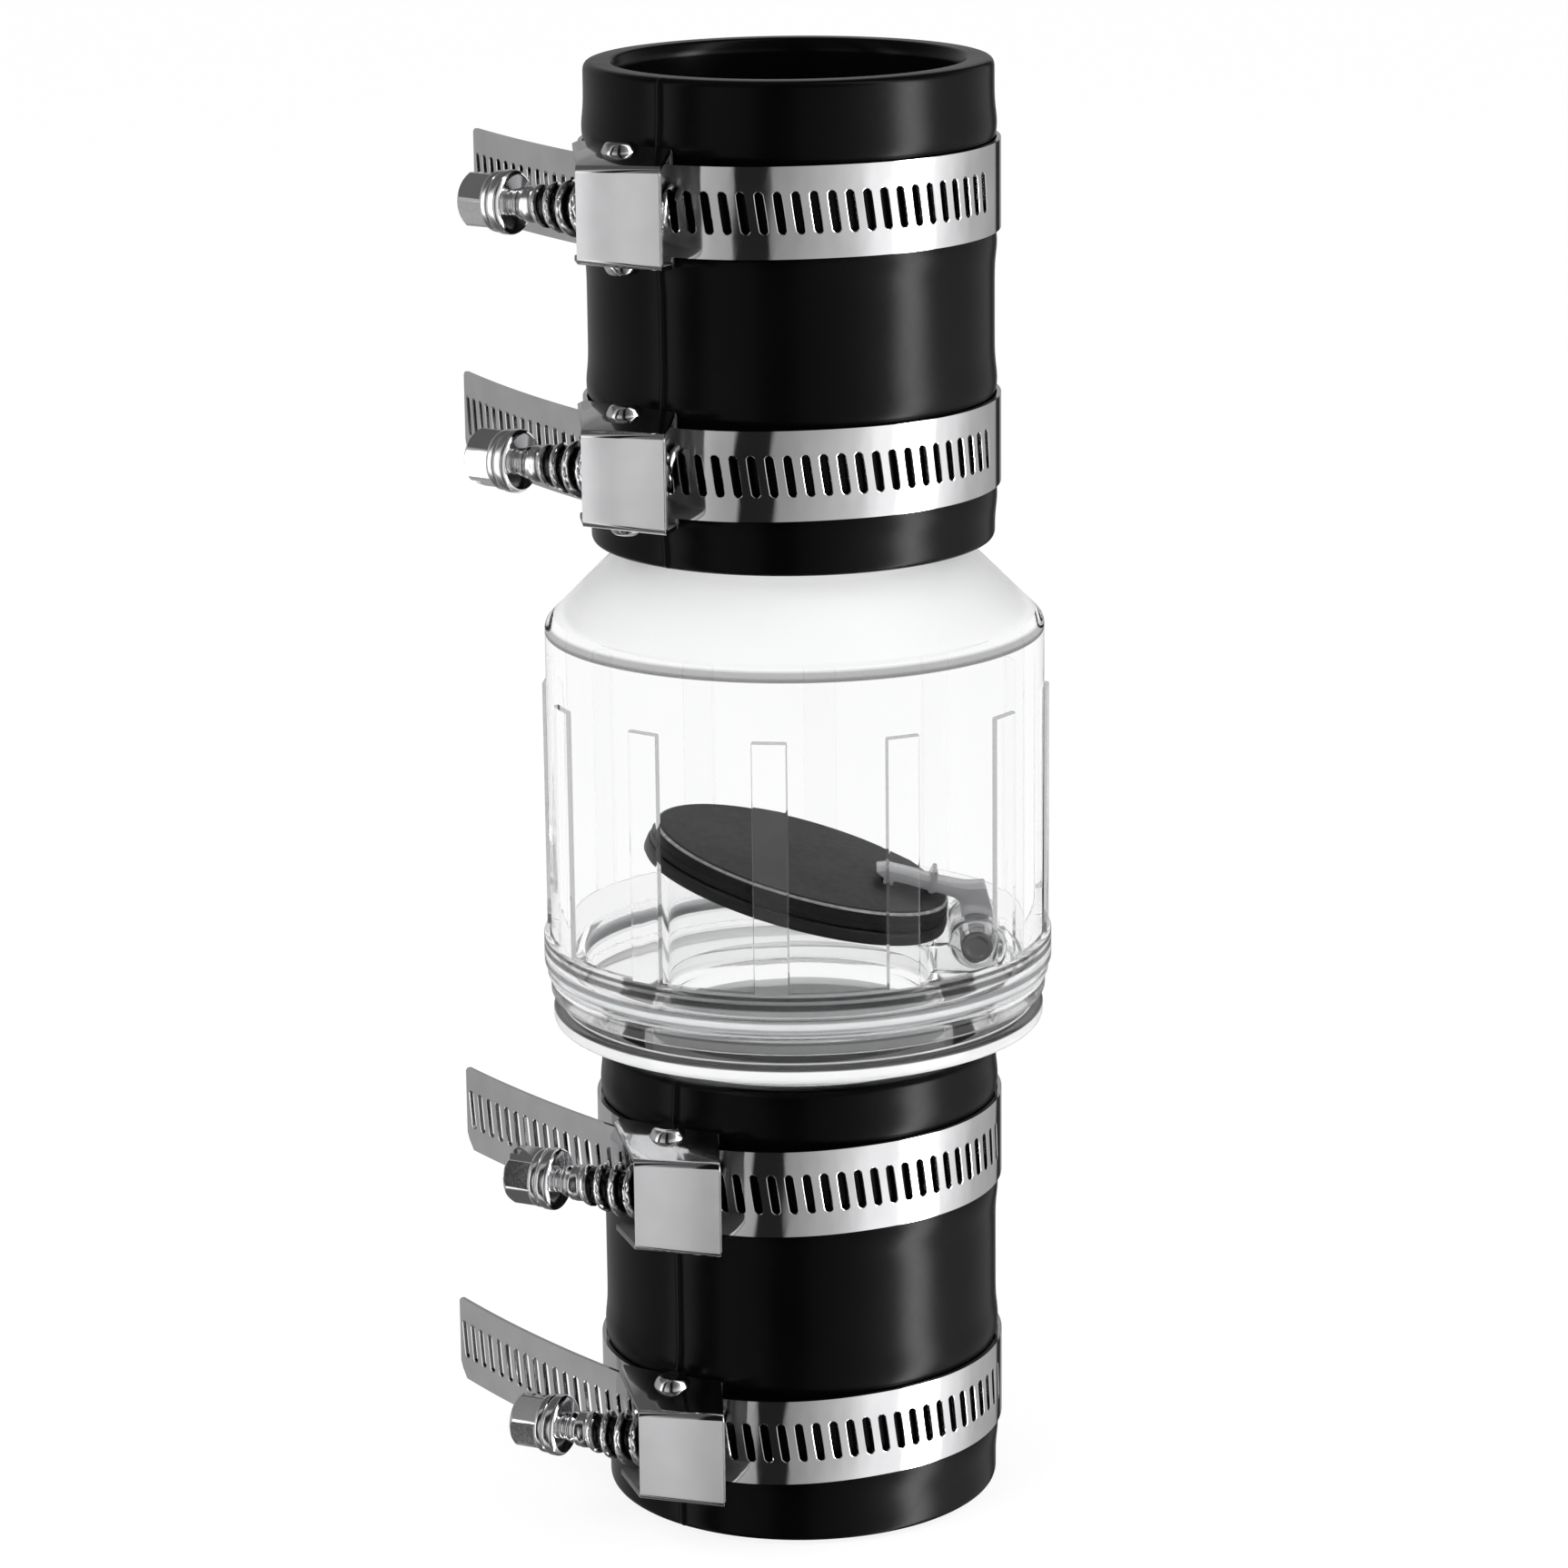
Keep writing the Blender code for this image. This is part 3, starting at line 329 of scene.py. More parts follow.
@dataclass(frozen=True)
class Finish:
    """A finish of the valve, with its colours in linear light.

    dark and light are the two shades that the smears run between. packing is set for metals, and gives
    how closely the drawn lines are packed along X, Y and Z, in lines a metre.
    """

    name: str
    slot: str
    dark: tuple[float, float, float]
    light: tuple[float, float, float]
    rough: tuple[float, float]
    bump: float = 0.0
    metallic: float = 0.0
    specular: float = 0.5
    ior: float = 1.45
    transmission: float = 0.0
    packing: Optional[tuple[float, float, float]] = None
    grain_scale: float = 900.0

    def material(self) -> bpy.types.Material:
        """The finish as a material, made once.

        Returns:
            The material.
        """
        found = bpy.data.materials.get(self.name)
        if found:
            return found
        made = bpy.data.materials.new(self.name)
        made.use_nodes = True
        bench = NodeBench(made.node_tree)
        shader = made.node_tree.nodes["Principled BSDF"]
        spot = bench.add("ShaderNodeTexCoord").outputs["Object"]
        group = bench.add("ShaderNodeGroup")
        group.node_tree = (Skin.DRAWN if self.packing else Skin.MOULDED).group()
        bench.feed(group.inputs["Vector"], spot)
        group.inputs["Low"].default_value, group.inputs["High"].default_value = self.rough
        if self.packing:
            group.inputs["Packing"].default_value = self.packing
        else:
            group.inputs["Grain Scale"].default_value = self.grain_scale
        shade = bench.mixed(group.outputs["Smear"], (*self.dark, 1.0), (*self.light, 1.0))
        bench.feed(shader.inputs["Base Color"], self.with_painted_light_and_shade(bench, spot, shade))
        bench.feed(shader.inputs["Roughness"], group.outputs["Roughness"])
        for label, value in (
            ("Metallic", self.metallic),
            ("IOR", self.ior),
            ("Specular IOR Level", self.specular),
            ("Transmission Weight", self.transmission),
        ):
            shader.inputs[label].default_value = value
        if self.bump:
            height = group.outputs["Height"]
            bump = bench.add("ShaderNodeBump", Strength=self.bump, Distance=BUMP_DEPTH, Height=height)
            bench.feed(shader.inputs["Normal"], bump.outputs[0])
        return made

    def with_painted_light_and_shade(self, bench: NodeBench, spot: Socket, colour: Socket) -> Socket:
        """The colour with the finish's painted light and shade. A plain finish has none."""
        return colour


@dataclass(frozen=True)
class ClearFinish(Finish):
    """Clear plastic with painted shade on its outside, grey standing in for light that a moulded edge or
    corner bends away and for shadow in grooves, and with painted light on its inside faces.

    shade is painted shade over the whole of it, and bands gives the painted shade at heights up the valve, in
    metres.
    """

    grain_scale: float = 300.0
    shade: float = 0.0
    bands: tuple[tuple[float, float], ...] = ()

    def with_painted_light_and_shade(self, bench: NodeBench, spot: Socket, colour: Socket) -> Socket:
        """Paints shade on the outside, and paints the inside faces light.

        Args:
            bench: The material's nodes.
            spot: The place on the piece.
            colour: The plastic's own colour.

        Returns:
            The colour with the painted light and shade.
        """
        if not (self.shade or self.bands):
            return colour
        # Painted shade: how far the outside is greyed, standing in for light bent away at edges and shadow in
        # grooves
        painted_shade: object = self.shade
        if self.bands:
            painted_shade = bench.profile(bench.add("ShaderNodeSeparateXYZ", Vector=spot).outputs[2], self.bands)
        inside = bench.add("ShaderNodeNewGeometry").outputs["Backfacing"]
        outside = bench.math("SUBTRACT", 1.0, inside)
        # Painted light: inside faces are painted almost white, standing in for light that the dim inside
        # lacks
        colour = bench.mixed(inside, colour, PAINTED_LIGHT_INSIDE)
        # Painted shade shows to camera rays only: seen through other plastic, the far side's edges stay clear
        direct = bench.add("ShaderNodeLightPath").outputs["Is Camera Ray"]
        return bench.mixed(bench.scaled(bench.scaled(outside, direct), painted_shade), colour, PAINTED_SHADE_COLOUR)


@dataclass(frozen=True)
class ShadedThreadFinish(Finish):
    """Plated steel with painted shade at the bottom of the worm's groove, where the attribute "groove" is
    deep.
    """

    def with_painted_light_and_shade(self, bench: NodeBench, spot: Socket, colour: Socket) -> Socket:
        """The colour, blackened in the groove as painted shade."""
        deep = bench.add("ShaderNodeAttribute", {"attribute_name": "groove"}).outputs["Fac"]
        # Painted shade: the groove is blackened by its depth, standing in for shade at the thread's root
        return bench.mixed(bench.ramp(deep, 0.25, 0.6, 0.0, 0.97), colour, PAINTED_GROOVE_SHADE)


RUBBER = Finish(
    "black rubber", "black_rubber", (0.0009, 0.0009, 0.0010), (0.0017, 0.0017, 0.0018), (0.20, 0.27),
    bump=0.06, specular=0.115,
)
FACING_RUBBER = Finish(
    "flap facing rubber", "black_rubber", (0.006, 0.006, 0.006), (0.009, 0.009, 0.009), (0.40, 0.50),
    bump=0.2, specular=0.14,
)
CLEAR_PLASTIC = ClearFinish(
    "clear plastic", "clear_plastic", (0.965, 0.967, 0.968), (0.98, 0.981, 0.982), (0.02, 0.05),
    transmission=1.0, ior=1.05,
)
SHOULDER_PLASTIC = replace(
    CLEAR_PLASTIC,
    name="clear shoulder plastic",
    # Painted shade: a grey band round the shoulder, standing in for light its rounded corner bends away
    bands=((0.1300, 0.0), (0.13015, 0.94), (0.1305, 0.92), (0.1308, 0.78), (0.1314, 0.74), (0.1318, 0.0)),
)
GRIP_PLASTIC = ClearFinish(
    "clear grip plastic", "clear_plastic", (0.955, 0.957, 0.958), (0.97, 0.971, 0.972), (0.03, 0.06),
    transmission=0.98, ior=1.05,
)
# Painted shade: the grips' side faces are greyed all over, standing in for light their edges bend away
GRIP_EDGE_PLASTIC = replace(
    CLEAR_PLASTIC, name="clear grip edge plastic", transmission=0.85, ior=1.0, shade=0.66
)
FROSTED_PLASTIC = ClearFinish(
    "frosted clear plastic", "clear_plastic", (0.91, 0.912, 0.915), (0.94, 0.942, 0.943), (0.28, 0.38),
    transmission=0.84, ior=1.22,
)
FLOOR_PLASTIC = ClearFinish(
    "clear floor plastic", "clear_plastic", (0.90, 0.902, 0.905), (0.94, 0.942, 0.944), (0.14, 0.22),
    transmission=0.80, ior=1.05,
)
BORE_PLASTIC = ClearFinish(
    "clear bore plastic", "clear_plastic", (0.96, 0.962, 0.965), (0.98, 0.981, 0.982), (0.30, 0.40),
    transmission=0.30, ior=1.05,
)
FLANGE_PLASTIC = ClearFinish(
    "clear flange plastic", "clear_plastic", (0.87, 0.872, 0.875), (0.92, 0.922, 0.923), (0.12, 0.20),
    transmission=0.88, ior=1.07,
    # Painted shade by height: dark lines standing in for shadow in the collar's and land's grooves and under
    # the land, and for light their edges bend away
    bands=(
        (0.0751, 0.92), (0.0762, 0.92), (0.0764, 0.64), (0.0768, 0.46), (0.0777, 0.44), (0.0779, 0.76),
        (0.0781, 0.76), (0.0783, 0.05), (0.0797, 0.12), (0.0799, 0.60), (0.0801, 0.60), (0.0803, 0.0),
        (0.0810, 0.0), (0.0813, 0.80), (0.0819, 0.80), (0.0822, 0.15), (0.0829, 0.0), (0.0832, 0.91),
        (0.0839, 0.94), (0.0841, 0.40), (0.0844, 0.30), (0.0846, 0.94), (0.0850, 0.94), (0.0852, 0.0),
    ),
)
LIP_PLASTIC = ClearFinish(
    "clear lip plastic", "clear_plastic", (0.82, 0.822, 0.824), (0.88, 0.882, 0.884), (0.16, 0.24),
    transmission=0.35, ior=1.22,
    # Painted shade by height: dark on the lip's top and at the groove's top under the land, standing in for
    # shade there
    bands=((0.0737, 0.0), (0.0739, 0.94), (0.0744, 0.94), (0.0746, 0.10), (0.0750, 0.10), (0.0752, 0.94)),
)
EAR_PLASTIC = ClearFinish(
    "clear ear plastic", "clear_plastic", (0.88, 0.882, 0.885), (0.92, 0.922, 0.925), (0.05, 0.10),
    transmission=0.95, ior=1.25,
)
SMOKE_PLASTIC = ClearFinish(
    "smoky clear plastic", "smoke_plastic", (0.23, 0.23, 0.24), (0.31, 0.31, 0.32), (0.10, 0.18),
    transmission=0.32, ior=1.4, bump=0.04, grain_scale=900.0,
)
SILICONE = Finish(
    "silicone", "silicone", (0.56, 0.565, 0.57), (0.64, 0.645, 0.65), (0.32, 0.45),
    transmission=0.75, ior=1.1, bump=0.05,
)
PIN_PLASTIC = Finish(
    "grey pin plastic", "pin_plastic", (0.072, 0.072, 0.074), (0.092, 0.092, 0.094), (0.30, 0.42),
    bump=0.08,
)
FLAP_PLASTIC = Finish(
    "flap plastic", "flap_plastic", (0.005, 0.005, 0.0053), (0.008, 0.008, 0.0083), (0.38, 0.50),
    bump=0.08, specular=0.075,
)
# Painted highlight: the disc's rim ring is much lighter than the flap, with real higher gloss
RIM_HIGHLIGHT_PLASTIC = Finish(
    "flap rim plastic", "flap_plastic", (0.14, 0.14, 0.142), (0.19, 0.19, 0.192), (0.22, 0.32),
    bump=0.05, specular=0.6,
)
STRIP_STEEL = Finish(
    "polished stainless strip", "stainless_strip", (0.64, 0.64, 0.65), (0.72, 0.72, 0.73), (0.045, 0.085),
    metallic=1.0, packing=(60.0, 60.0, 9000.0), bump=0.015,
)
# Painted shade: the housing's inside faces, the same steel painted darker where they lie in shade, and
# rougher
SHADED_INNER_STEEL = Finish(
    "dull stainless sheet", "stainless_housing", (0.20, 0.20, 0.20), (0.26, 0.26, 0.26), (0.45, 0.55),
    metallic=0.8, packing=(1500.0, 1500.0, 1500.0), bump=0.01,
)
HOUSING_STEEL = Finish(
    "satin stainless sheet", "stainless_housing", (0.61, 0.61, 0.62), (0.67, 0.67, 0.68), (0.28, 0.36),
    metallic=0.6, packing=(1500.0, 1500.0, 1500.0),
)
SHEET_STEEL = replace(
    STRIP_STEEL,
    name="polished stainless sheet",
    slot=HOUSING_STEEL.slot,
    rough=(0.05, 0.10),
    packing=HOUSING_STEEL.packing,
    bump=0.01,
)
SCREW_STEEL = ShadedThreadFinish(
    "bright plated screw", "plated_screw", (0.80, 0.80, 0.81), (0.90, 0.90, 0.91), (0.08, 0.16),
    metallic=1.0, packing=(2500.0, 2500.0, 2500.0), bump=0.02,
)


# Shapes


@dataclass(frozen=True)
class Corner:
    """A corner of an outline: distance from the axis, height, and how far the corner is rounded."""

    r: float
    z: float
    soft: float = 0.0


def softened(corners: Sequence[Corner], steps: int = 4, closed: bool = True) -> Outline:
    """Rounds the corners of an outline.

    Args:
        corners: The outline's corners in order.
        steps: Segments of each rounding.
        closed: Whether the last corner joins the first.

    Returns:
        The outline's points.
    """
    points: Outline = []
    count = len(corners)
    for i, corner in enumerate(corners):
        here = Vector((corner.r, corner.z))
        if corner.soft <= 0 or (not closed and i in (0, count - 1)):
            points.append((here.x, here.y))
            continue
        before, after = corners[i - 1], corners[(i + 1) % count]
        back = Vector((before.r, before.z)) - here
        on = Vector((after.r, after.z)) - here
        reach = min(corner.soft, NEAR_HALF * back.length, NEAR_HALF * on.length)
        start, end = here + back.normalized() * reach, here + on.normalized() * reach
        for step in range(steps + 1):
            share = step / steps
            point = start * (1 - share) ** 2 + here * 2 * share * (1 - share) + end * share**2
            points.append((point.x, point.y))
    return points


class Step(Enum):
    """What is done to a solid with a second one."""

    JOIN = "UNION"
    CUT = "DIFFERENCE"
    KEEP = "INTERSECT"


class Side(IntEnum):
    """One of two alike features: the one at the low end of its axis, or at the high end."""

    LOW = -1
    HIGH = 1


def as_mesh(bm: bmesh.types.BMesh, name: str) -> bpy.types.Mesh:
    """Makes a shape a mesh, as it is.

    Args:
        bm: The shape, which is used up.
        name: The mesh's name.

    Returns:
        The mesh.
    """
    mesh = bpy.data.meshes.new(name)
    bm.to_mesh(mesh)
    bm.free()
    return mesh


def finish_bmesh(bm: bmesh.types.BMesh, name: str) -> bpy.types.Mesh:
    """Welds a shape, turns its faces outwards and makes it a mesh.

    Args:
        bm: The shape, which is used up.
        name: The mesh's name.

    Returns:
        The mesh.
    """
    bmesh.ops.remove_doubles(bm, verts=bm.verts, dist=WELD)
    bmesh.ops.dissolve_degenerate(bm, edges=bm.edges, dist=SLIVER)
    bmesh.ops.recalc_face_normals(bm, faces=bm.faces)
    return as_mesh(bm, name)


def turned(
    name: str,
    outline: Outline,
    angles: int | Sequence[float] = 160,
    proud: Optional[Callable[[float, float, float], float]] = None,
) -> bpy.types.Mesh:
    """Turns an outline about Z.

    Args:
        name: The mesh's name.
        outline: Points (radius, height), closed on itself unless both ends lie on the axis.
        angles: How many sides, or the angles of the sides' corners.
        proud: How far the surface stands out at an angle, radius and height.

    Returns:
        The mesh.
    """
    if isinstance(angles, int):
        angles = [2 * math.pi * i / angles for i in range(angles)]
    bm = bmesh.new()
    rings = []
    for radius, height in outline:
        if radius < ON_AXIS:
            rings.append([bm.verts.new((0, 0, height))])
            continue
        ring = []
        for angle in angles:
            out = radius + (proud(angle, radius, height) if proud else 0.0)
            ring.append(bm.verts.new((out * math.cos(angle), out * math.sin(angle), height)))
        rings.append(ring)
    closed = outline[0][0] > ON_AXIS or outline[-1][0] > ON_AXIS
    pairs = list(zip(rings, rings[1:])) + ([(rings[-1], rings[0])] if closed else [])
    sides = len(angles)
    for near, far in pairs:
        for i in range(sides):
            after = (i + 1) % sides
            corners = [near[i % len(near)], near[after % len(near)], far[after % len(far)], far[i % len(far)]]
            corners = list(dict.fromkeys(corners))
            if len(corners) > 2:
                bm.faces.new(corners)
    return finish_bmesh(bm, name)


def linked(name: str, data: Optional[bpy.types.ID]) -> bpy.types.Object:
    """Adds an object to the scene.

    Args:
        name: The object's name.
        data: Its mesh, curve, light or camera.

    Returns:
        The object.
    """
    obj = bpy.data.objects.new(name, data)
    bpy.context.scene.collection.objects.link(obj)
    return obj


def taken(obj: bpy.types.Object) -> bpy.types.Mesh:
    """Takes the shape of a working object after its modifiers, and removes the object.

    Args:
        obj: The object.

    Returns:
        Its shape.
    """
    graph = bpy.context.evaluated_depsgraph_get()
    graph.update()
    mesh = bpy.data.meshes.new_from_object(obj.evaluated_get(graph))
    bpy.data.objects.remove(obj)
    return mesh


def cleaned(mesh: bpy.types.Mesh) -> bpy.types.Mesh:
    """Welds a taken shape and turns its faces outwards.

    Args:
        mesh: The shape.

    Returns:
        The cleaned shape.
    """
    bm = bmesh.new()
    bm.from_mesh(mesh)
    return finish_bmesh(bm, mesh.name)


def combined(mesh: bpy.types.Mesh, others: Iterable[tuple[Step, bpy.types.Mesh]]) -> bpy.types.Mesh:
    """Joins solids to a solid, or cuts them from it.

    Args:
        mesh: The solid to work on.
        others: What is done and the solid it is done with, in order.

    Returns:
        The result.
    """
    body = linked("body", mesh)
    tools = []
    for step, other in others:
        tool = linked("tool", other)
        work = body.modifiers.new(step.name, "BOOLEAN")
        work.operation, work.solver, work.object = step.value, "EXACT", tool
        tools.append(tool)
    result = taken(body)
    for tool in tools:
        bpy.data.objects.remove(tool)
    return cleaned(result)


def add_bevel(
    obj: bpy.types.Object, name: str, width: float, segments: int, angle: float
) -> bpy.types.Modifier:
    """Adds a bevel to a working object.

    Args:
        obj: The object.
        name: The modifier's name.
        width: How wide the rounding is.
        segments: How many faces it has.
        angle: The angle past which an edge is rounded.

    Returns:
        The modifier.
    """
    bevel = obj.modifiers.new(name, "BEVEL")
    bevel.width, bevel.segments, bevel.limit_method, bevel.angle_limit = width, segments, "ANGLE", angle
    return bevel


def bevelled(
    mesh: bpy.types.Mesh, width: float, segments: int = 2, angle: float = math.radians(30)
) -> bpy.types.Mesh:
    """Rounds a solid's sharp edges.

    Args:
        mesh: The solid.
        width: How wide the rounding is.
        segments: How many faces it has.
        angle: The angle past which an edge is sharp.

    Returns:
        The rounded solid.
    """
    body = linked("body", mesh)
    add_bevel(body, "edges", width, segments, angle).miter_outer = "MITER_ARC"
    return taken(body)


def slab(name: str, outline: Outline, thickness: float) -> bpy.types.Mesh:
    """Thickens a flat outline to both sides.

    Args:
        name: The mesh's name.
        outline: Points in X and Y.
        thickness: How thick the slab is along Z.

    Returns:
        The slab.
    """
    bm = bmesh.new()
    low = [bm.verts.new((x, y, -thickness / 2)) for x, y in outline]
    high = [bm.verts.new((x, y, thickness / 2)) for x, y in outline]
    bm.faces.new(list(reversed(low)))
    bm.faces.new(high)
    for i in range(len(outline)):
        after = (i + 1) % len(outline)
        bm.faces.new((low[i], low[after], high[after], high[i]))
    return finish_bmesh(bm, name)


def box_mesh(name: str, low: Vector, high: Vector, place: Matrix = Matrix()) -> bpy.types.Mesh:
    """Makes a box between two corners.

    Args:
        name: The mesh's name.
        low: Its low corner.
        high: Its high corner.
        place: Where it then goes.

    Returns:
        The box.
    """
    bm = bmesh.new()
    size, middle = high - low, (high + low) / 2
    stretch = Matrix.Diagonal((*size, 1.0))
    bmesh.ops.create_cube(bm, size=1.0, matrix=place @ Matrix.Translation(middle) @ stretch)
    return finish_bmesh(bm, name)


def along_y(x: float, z: float) -> Matrix:
    """Lays a shape turned about Z along Y, on a line through (x, z)."""
    return Matrix.Translation((x, 0, z)) @ Matrix.Rotation(math.pi / 2, 4, "X")


def piece(
    name: str,
    mesh: bpy.types.Mesh,
    finish: Finish,
    body: str,
    nodes: Sequence[str],
    place: Matrix = Matrix(),
    edge: float = SOFT_EDGE,
) -> bpy.types.Object:
    """Finishes a piece: scales it to metres, dresses it and hangs it on its body.

    Args:
        name: The piece's name.
        mesh: Its shape in millimetres.
        finish: Its finish.
        body: The body it moves with.
        nodes: The CAD nodes it stands for.
        place: Where it goes, in millimetres.
        edge: The angle past which an edge stays sharp.

    Returns:
        The piece.
    """
    mesh.transform(Matrix.Scale(MM, 4) @ place)
    mesh.materials.clear()
    mesh.materials.append(finish.material())
    mesh.shade_smooth()
    mesh.set_sharp_from_angle(angle=edge)
    mesh.name = name
    obj = linked(name, mesh)
    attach(obj, body)
    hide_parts(*nodes)
    LOG.info("%s: %d faces on %s", name, len(mesh.polygons), body)
    return obj


def redress(
    obj: bpy.types.Object, others: Sequence[Finish], choose: Callable[[Vector, Vector], Optional[Finish]]
) -> None:
    """Gives some faces of a piece other finishes.

    Args:
        obj: The piece.
        others: The other finishes.
        choose: Says which of them a face has, from its middle in millimetres and its normal. None leaves
            the piece's own finish.
    """
    places = {}
    for finish in others:
        places[finish.name] = len(obj.data.materials)
        obj.data.materials.append(finish.material())
    for face in obj.data.polygons:
        chosen = choose(face.center / MM, face.normal)
        face.material_index = places[chosen.name] if chosen else 0


# Geometry Nodes


class ShapeTree:
    """A Geometry Nodes tree under construction."""

    def __init__(self, name: str, inputs: Sequence[tuple[str, str, object]]) -> None:
        """Starts a tree that takes and gives a shape.

        Args:
            name: The tree's name.
            inputs: Name, socket type and default of each input after the shape itself.
        """
        self.tree = bpy.data.node_groups.new(name, "GeometryNodeTree")
        face = self.tree.interface
        face.new_socket("Geometry", in_out="INPUT", socket_type="NodeSocketGeometry")
        add_inputs(self.tree, inputs)
        face.new_socket("Geometry", in_out="OUTPUT", socket_type="NodeSocketGeometry")
        self.bench = NodeBench(self.tree)
        self.first = self.tree.nodes.new("NodeGroupInput")
        self.last = self.tree.nodes.new("NodeGroupOutput")

    def given(self, name: str) -> Socket:
        """The socket of a named input."""
        return self.first.outputs[name]

    def end(self, shape: Socket) -> bpy.types.NodeTree:
        """Realizes the instances of a shape, gives it the tree's material, and puts it out.

        Args:
            shape: The shape's socket.

        Returns:
            The finished tree.
        """
        real = self.bench.add("GeometryNodeRealizeInstances", Geometry=shape)
        dressed = self.bench.add("GeometryNodeSetMaterial", Geometry=real.outputs[0])
        self.bench.feed(dressed.inputs["Material"], self.given("Material"))
        self.bench.feed(self.last.inputs[0], dressed.outputs[0])
        return self.tree


def run_tree(tree: bpy.types.NodeTree, mesh: bpy.types.Mesh, values: dict[str, object]) -> bpy.types.Mesh:
    """Runs a Geometry Nodes tree on a shape.

    Args:
        tree: The tree.
        mesh: The shape it starts from.
        values: Its inputs by name.

    Returns:
        The result as a plain mesh.
    """
    body = linked(tree.name, mesh)
    step = body.modifiers.new(tree.name, "NODES")
    step.node_group = tree
    for item in tree.interface.items_tree:
        if item.item_type == "SOCKET" and item.in_out == "INPUT" and item.name in values:
            step[item.identifier] = values[item.name]
    return cleaned(taken(body))


def ring_of_grips() -> bpy.types.NodeTree:
    """Makes the tree that joins copies of a rib to a turned body, evenly round its axis.

    Returns:
        The tree.
    """
    shape = ShapeTree(
        "ring of grips",
        (
            ("Rib", "NodeSocketObject", None),
            ("Count", "NodeSocketInt", 12),
            ("Turn", "NodeSocketFloat", 0.0),
            ("Material", "NodeSocketMaterial", None),
        ),
    )
    bench = shape.bench
    rib = bench.add("GeometryNodeObjectInfo", Object=shape.given("Rib"))
    spots = bench.add("GeometryNodeMeshLine", Count=shape.given("Count"), Offset=(0.0, 0.0, 0.0))
    place = bench.add("GeometryNodeInputIndex").outputs[0]
    share = bench.math("DIVIDE", bench.scaled(place, 2 * math.pi), shape.given("Count"))
    turn = bench.add("ShaderNodeCombineXYZ", Z=bench.math("ADD", share, shape.given("Turn")))
    spin = bench.add("FunctionNodeEulerToRotation", Euler=turn.outputs[0])
    copies = bench.add("GeometryNodeInstanceOnPoints", Points=spots.outputs[0], Rotation=spin.outputs[0])
    bench.feed(copies.inputs["Instance"], rib.outputs["Geometry"])
    real = bench.add("GeometryNodeRealizeInstances", Geometry=copies.outputs[0])
    union = bench.add("GeometryNodeMeshBoolean", {"operation": "UNION", "solver": "EXACT"})
    bench.feed(union.inputs["Mesh 2"], real.outputs[0])
    bench.feed(union.inputs["Mesh 2"], shape.given("Geometry"))
    return shape.end(union.outputs[0])


def bent_strip() -> bpy.types.NodeTree:
    """Makes the tree that lines up slotted cells after a tip, adds the plain end, and bends them.

    Returns:
        The tree.
    """
    shape = ShapeTree(
        "bent strip",
        (
            ("Tip", "NodeSocketObject", None),
            ("Plain End", "NodeSocketObject", None),
            ("Centre Line", "NodeSocketObject", None),
            ("Slots", "NodeSocketInt", 40),
            ("Pitch", "NodeSocketFloat", 2.5),
            ("First Slot", "NodeSocketFloat", 4.0),
            ("Material", "NodeSocketMaterial", None),
        ),
    )
    bench = shape.bench
    start = bench.add("ShaderNodeCombineXYZ", X=shape.given("First Slot"))
    step = bench.add("ShaderNodeCombineXYZ", X=shape.given("Pitch"))
    spots = bench.add("GeometryNodeMeshLine", Count=shape.given("Slots"), Offset=step.outputs[0])
    bench.feed(spots.inputs["Start Location"], start.outputs[0])
    cells = bench.add("GeometryNodeInstanceOnPoints", Points=spots.outputs[0])
    bench.feed(cells.inputs["Instance"], shape.given("Geometry"))
    real = bench.add("GeometryNodeRealizeInstances", Geometry=cells.outputs[0])
    joined = bench.add("GeometryNodeJoinGeometry")
    for source in (
        real.outputs[0],
        bench.add("GeometryNodeObjectInfo", Object=shape.given("Tip")).outputs["Geometry"],
        bench.add("GeometryNodeObjectInfo", Object=shape.given("Plain End")).outputs["Geometry"],
    ):
        bench.feed(joined.inputs[0], source)
    whole = bench.add("GeometryNodeMergeByDistance", Geometry=joined.outputs[0], Distance=SEAM)
    line = bench.add("GeometryNodeObjectInfo", Object=shape.given("Centre Line"))
    spot = bench.add("ShaderNodeSeparateXYZ", Vector=bench.add("GeometryNodeInputPosition").outputs[0])
    sample = bench.add("GeometryNodeSampleCurve", {"mode": "LENGTH", "use_all_curves": True})
    bench.feed(sample.inputs["Curves"], line.outputs["Geometry"])
    bench.feed(sample.inputs["Length"], spot.outputs[0])
    out = bench.vector("CROSS_PRODUCT", sample.outputs["Tangent"], (0.0, 0.0, 1.0))
    shift = bench.add("ShaderNodeVectorMath", {"operation": "SCALE"}, Scale=spot.outputs[1])
    bench.feed(shift.inputs[0], out)
    height = bench.add("ShaderNodeCombineXYZ", Z=spot.outputs[2])
    raised = bench.vector("ADD", shift.outputs[0], height.outputs[0])
    placed = bench.vector("ADD", sample.outputs["Position"], raised)
    bent = bench.add("GeometryNodeSetPosition", Geometry=whole.outputs[0], Position=placed)
    return shape.end(bent.outputs[0])


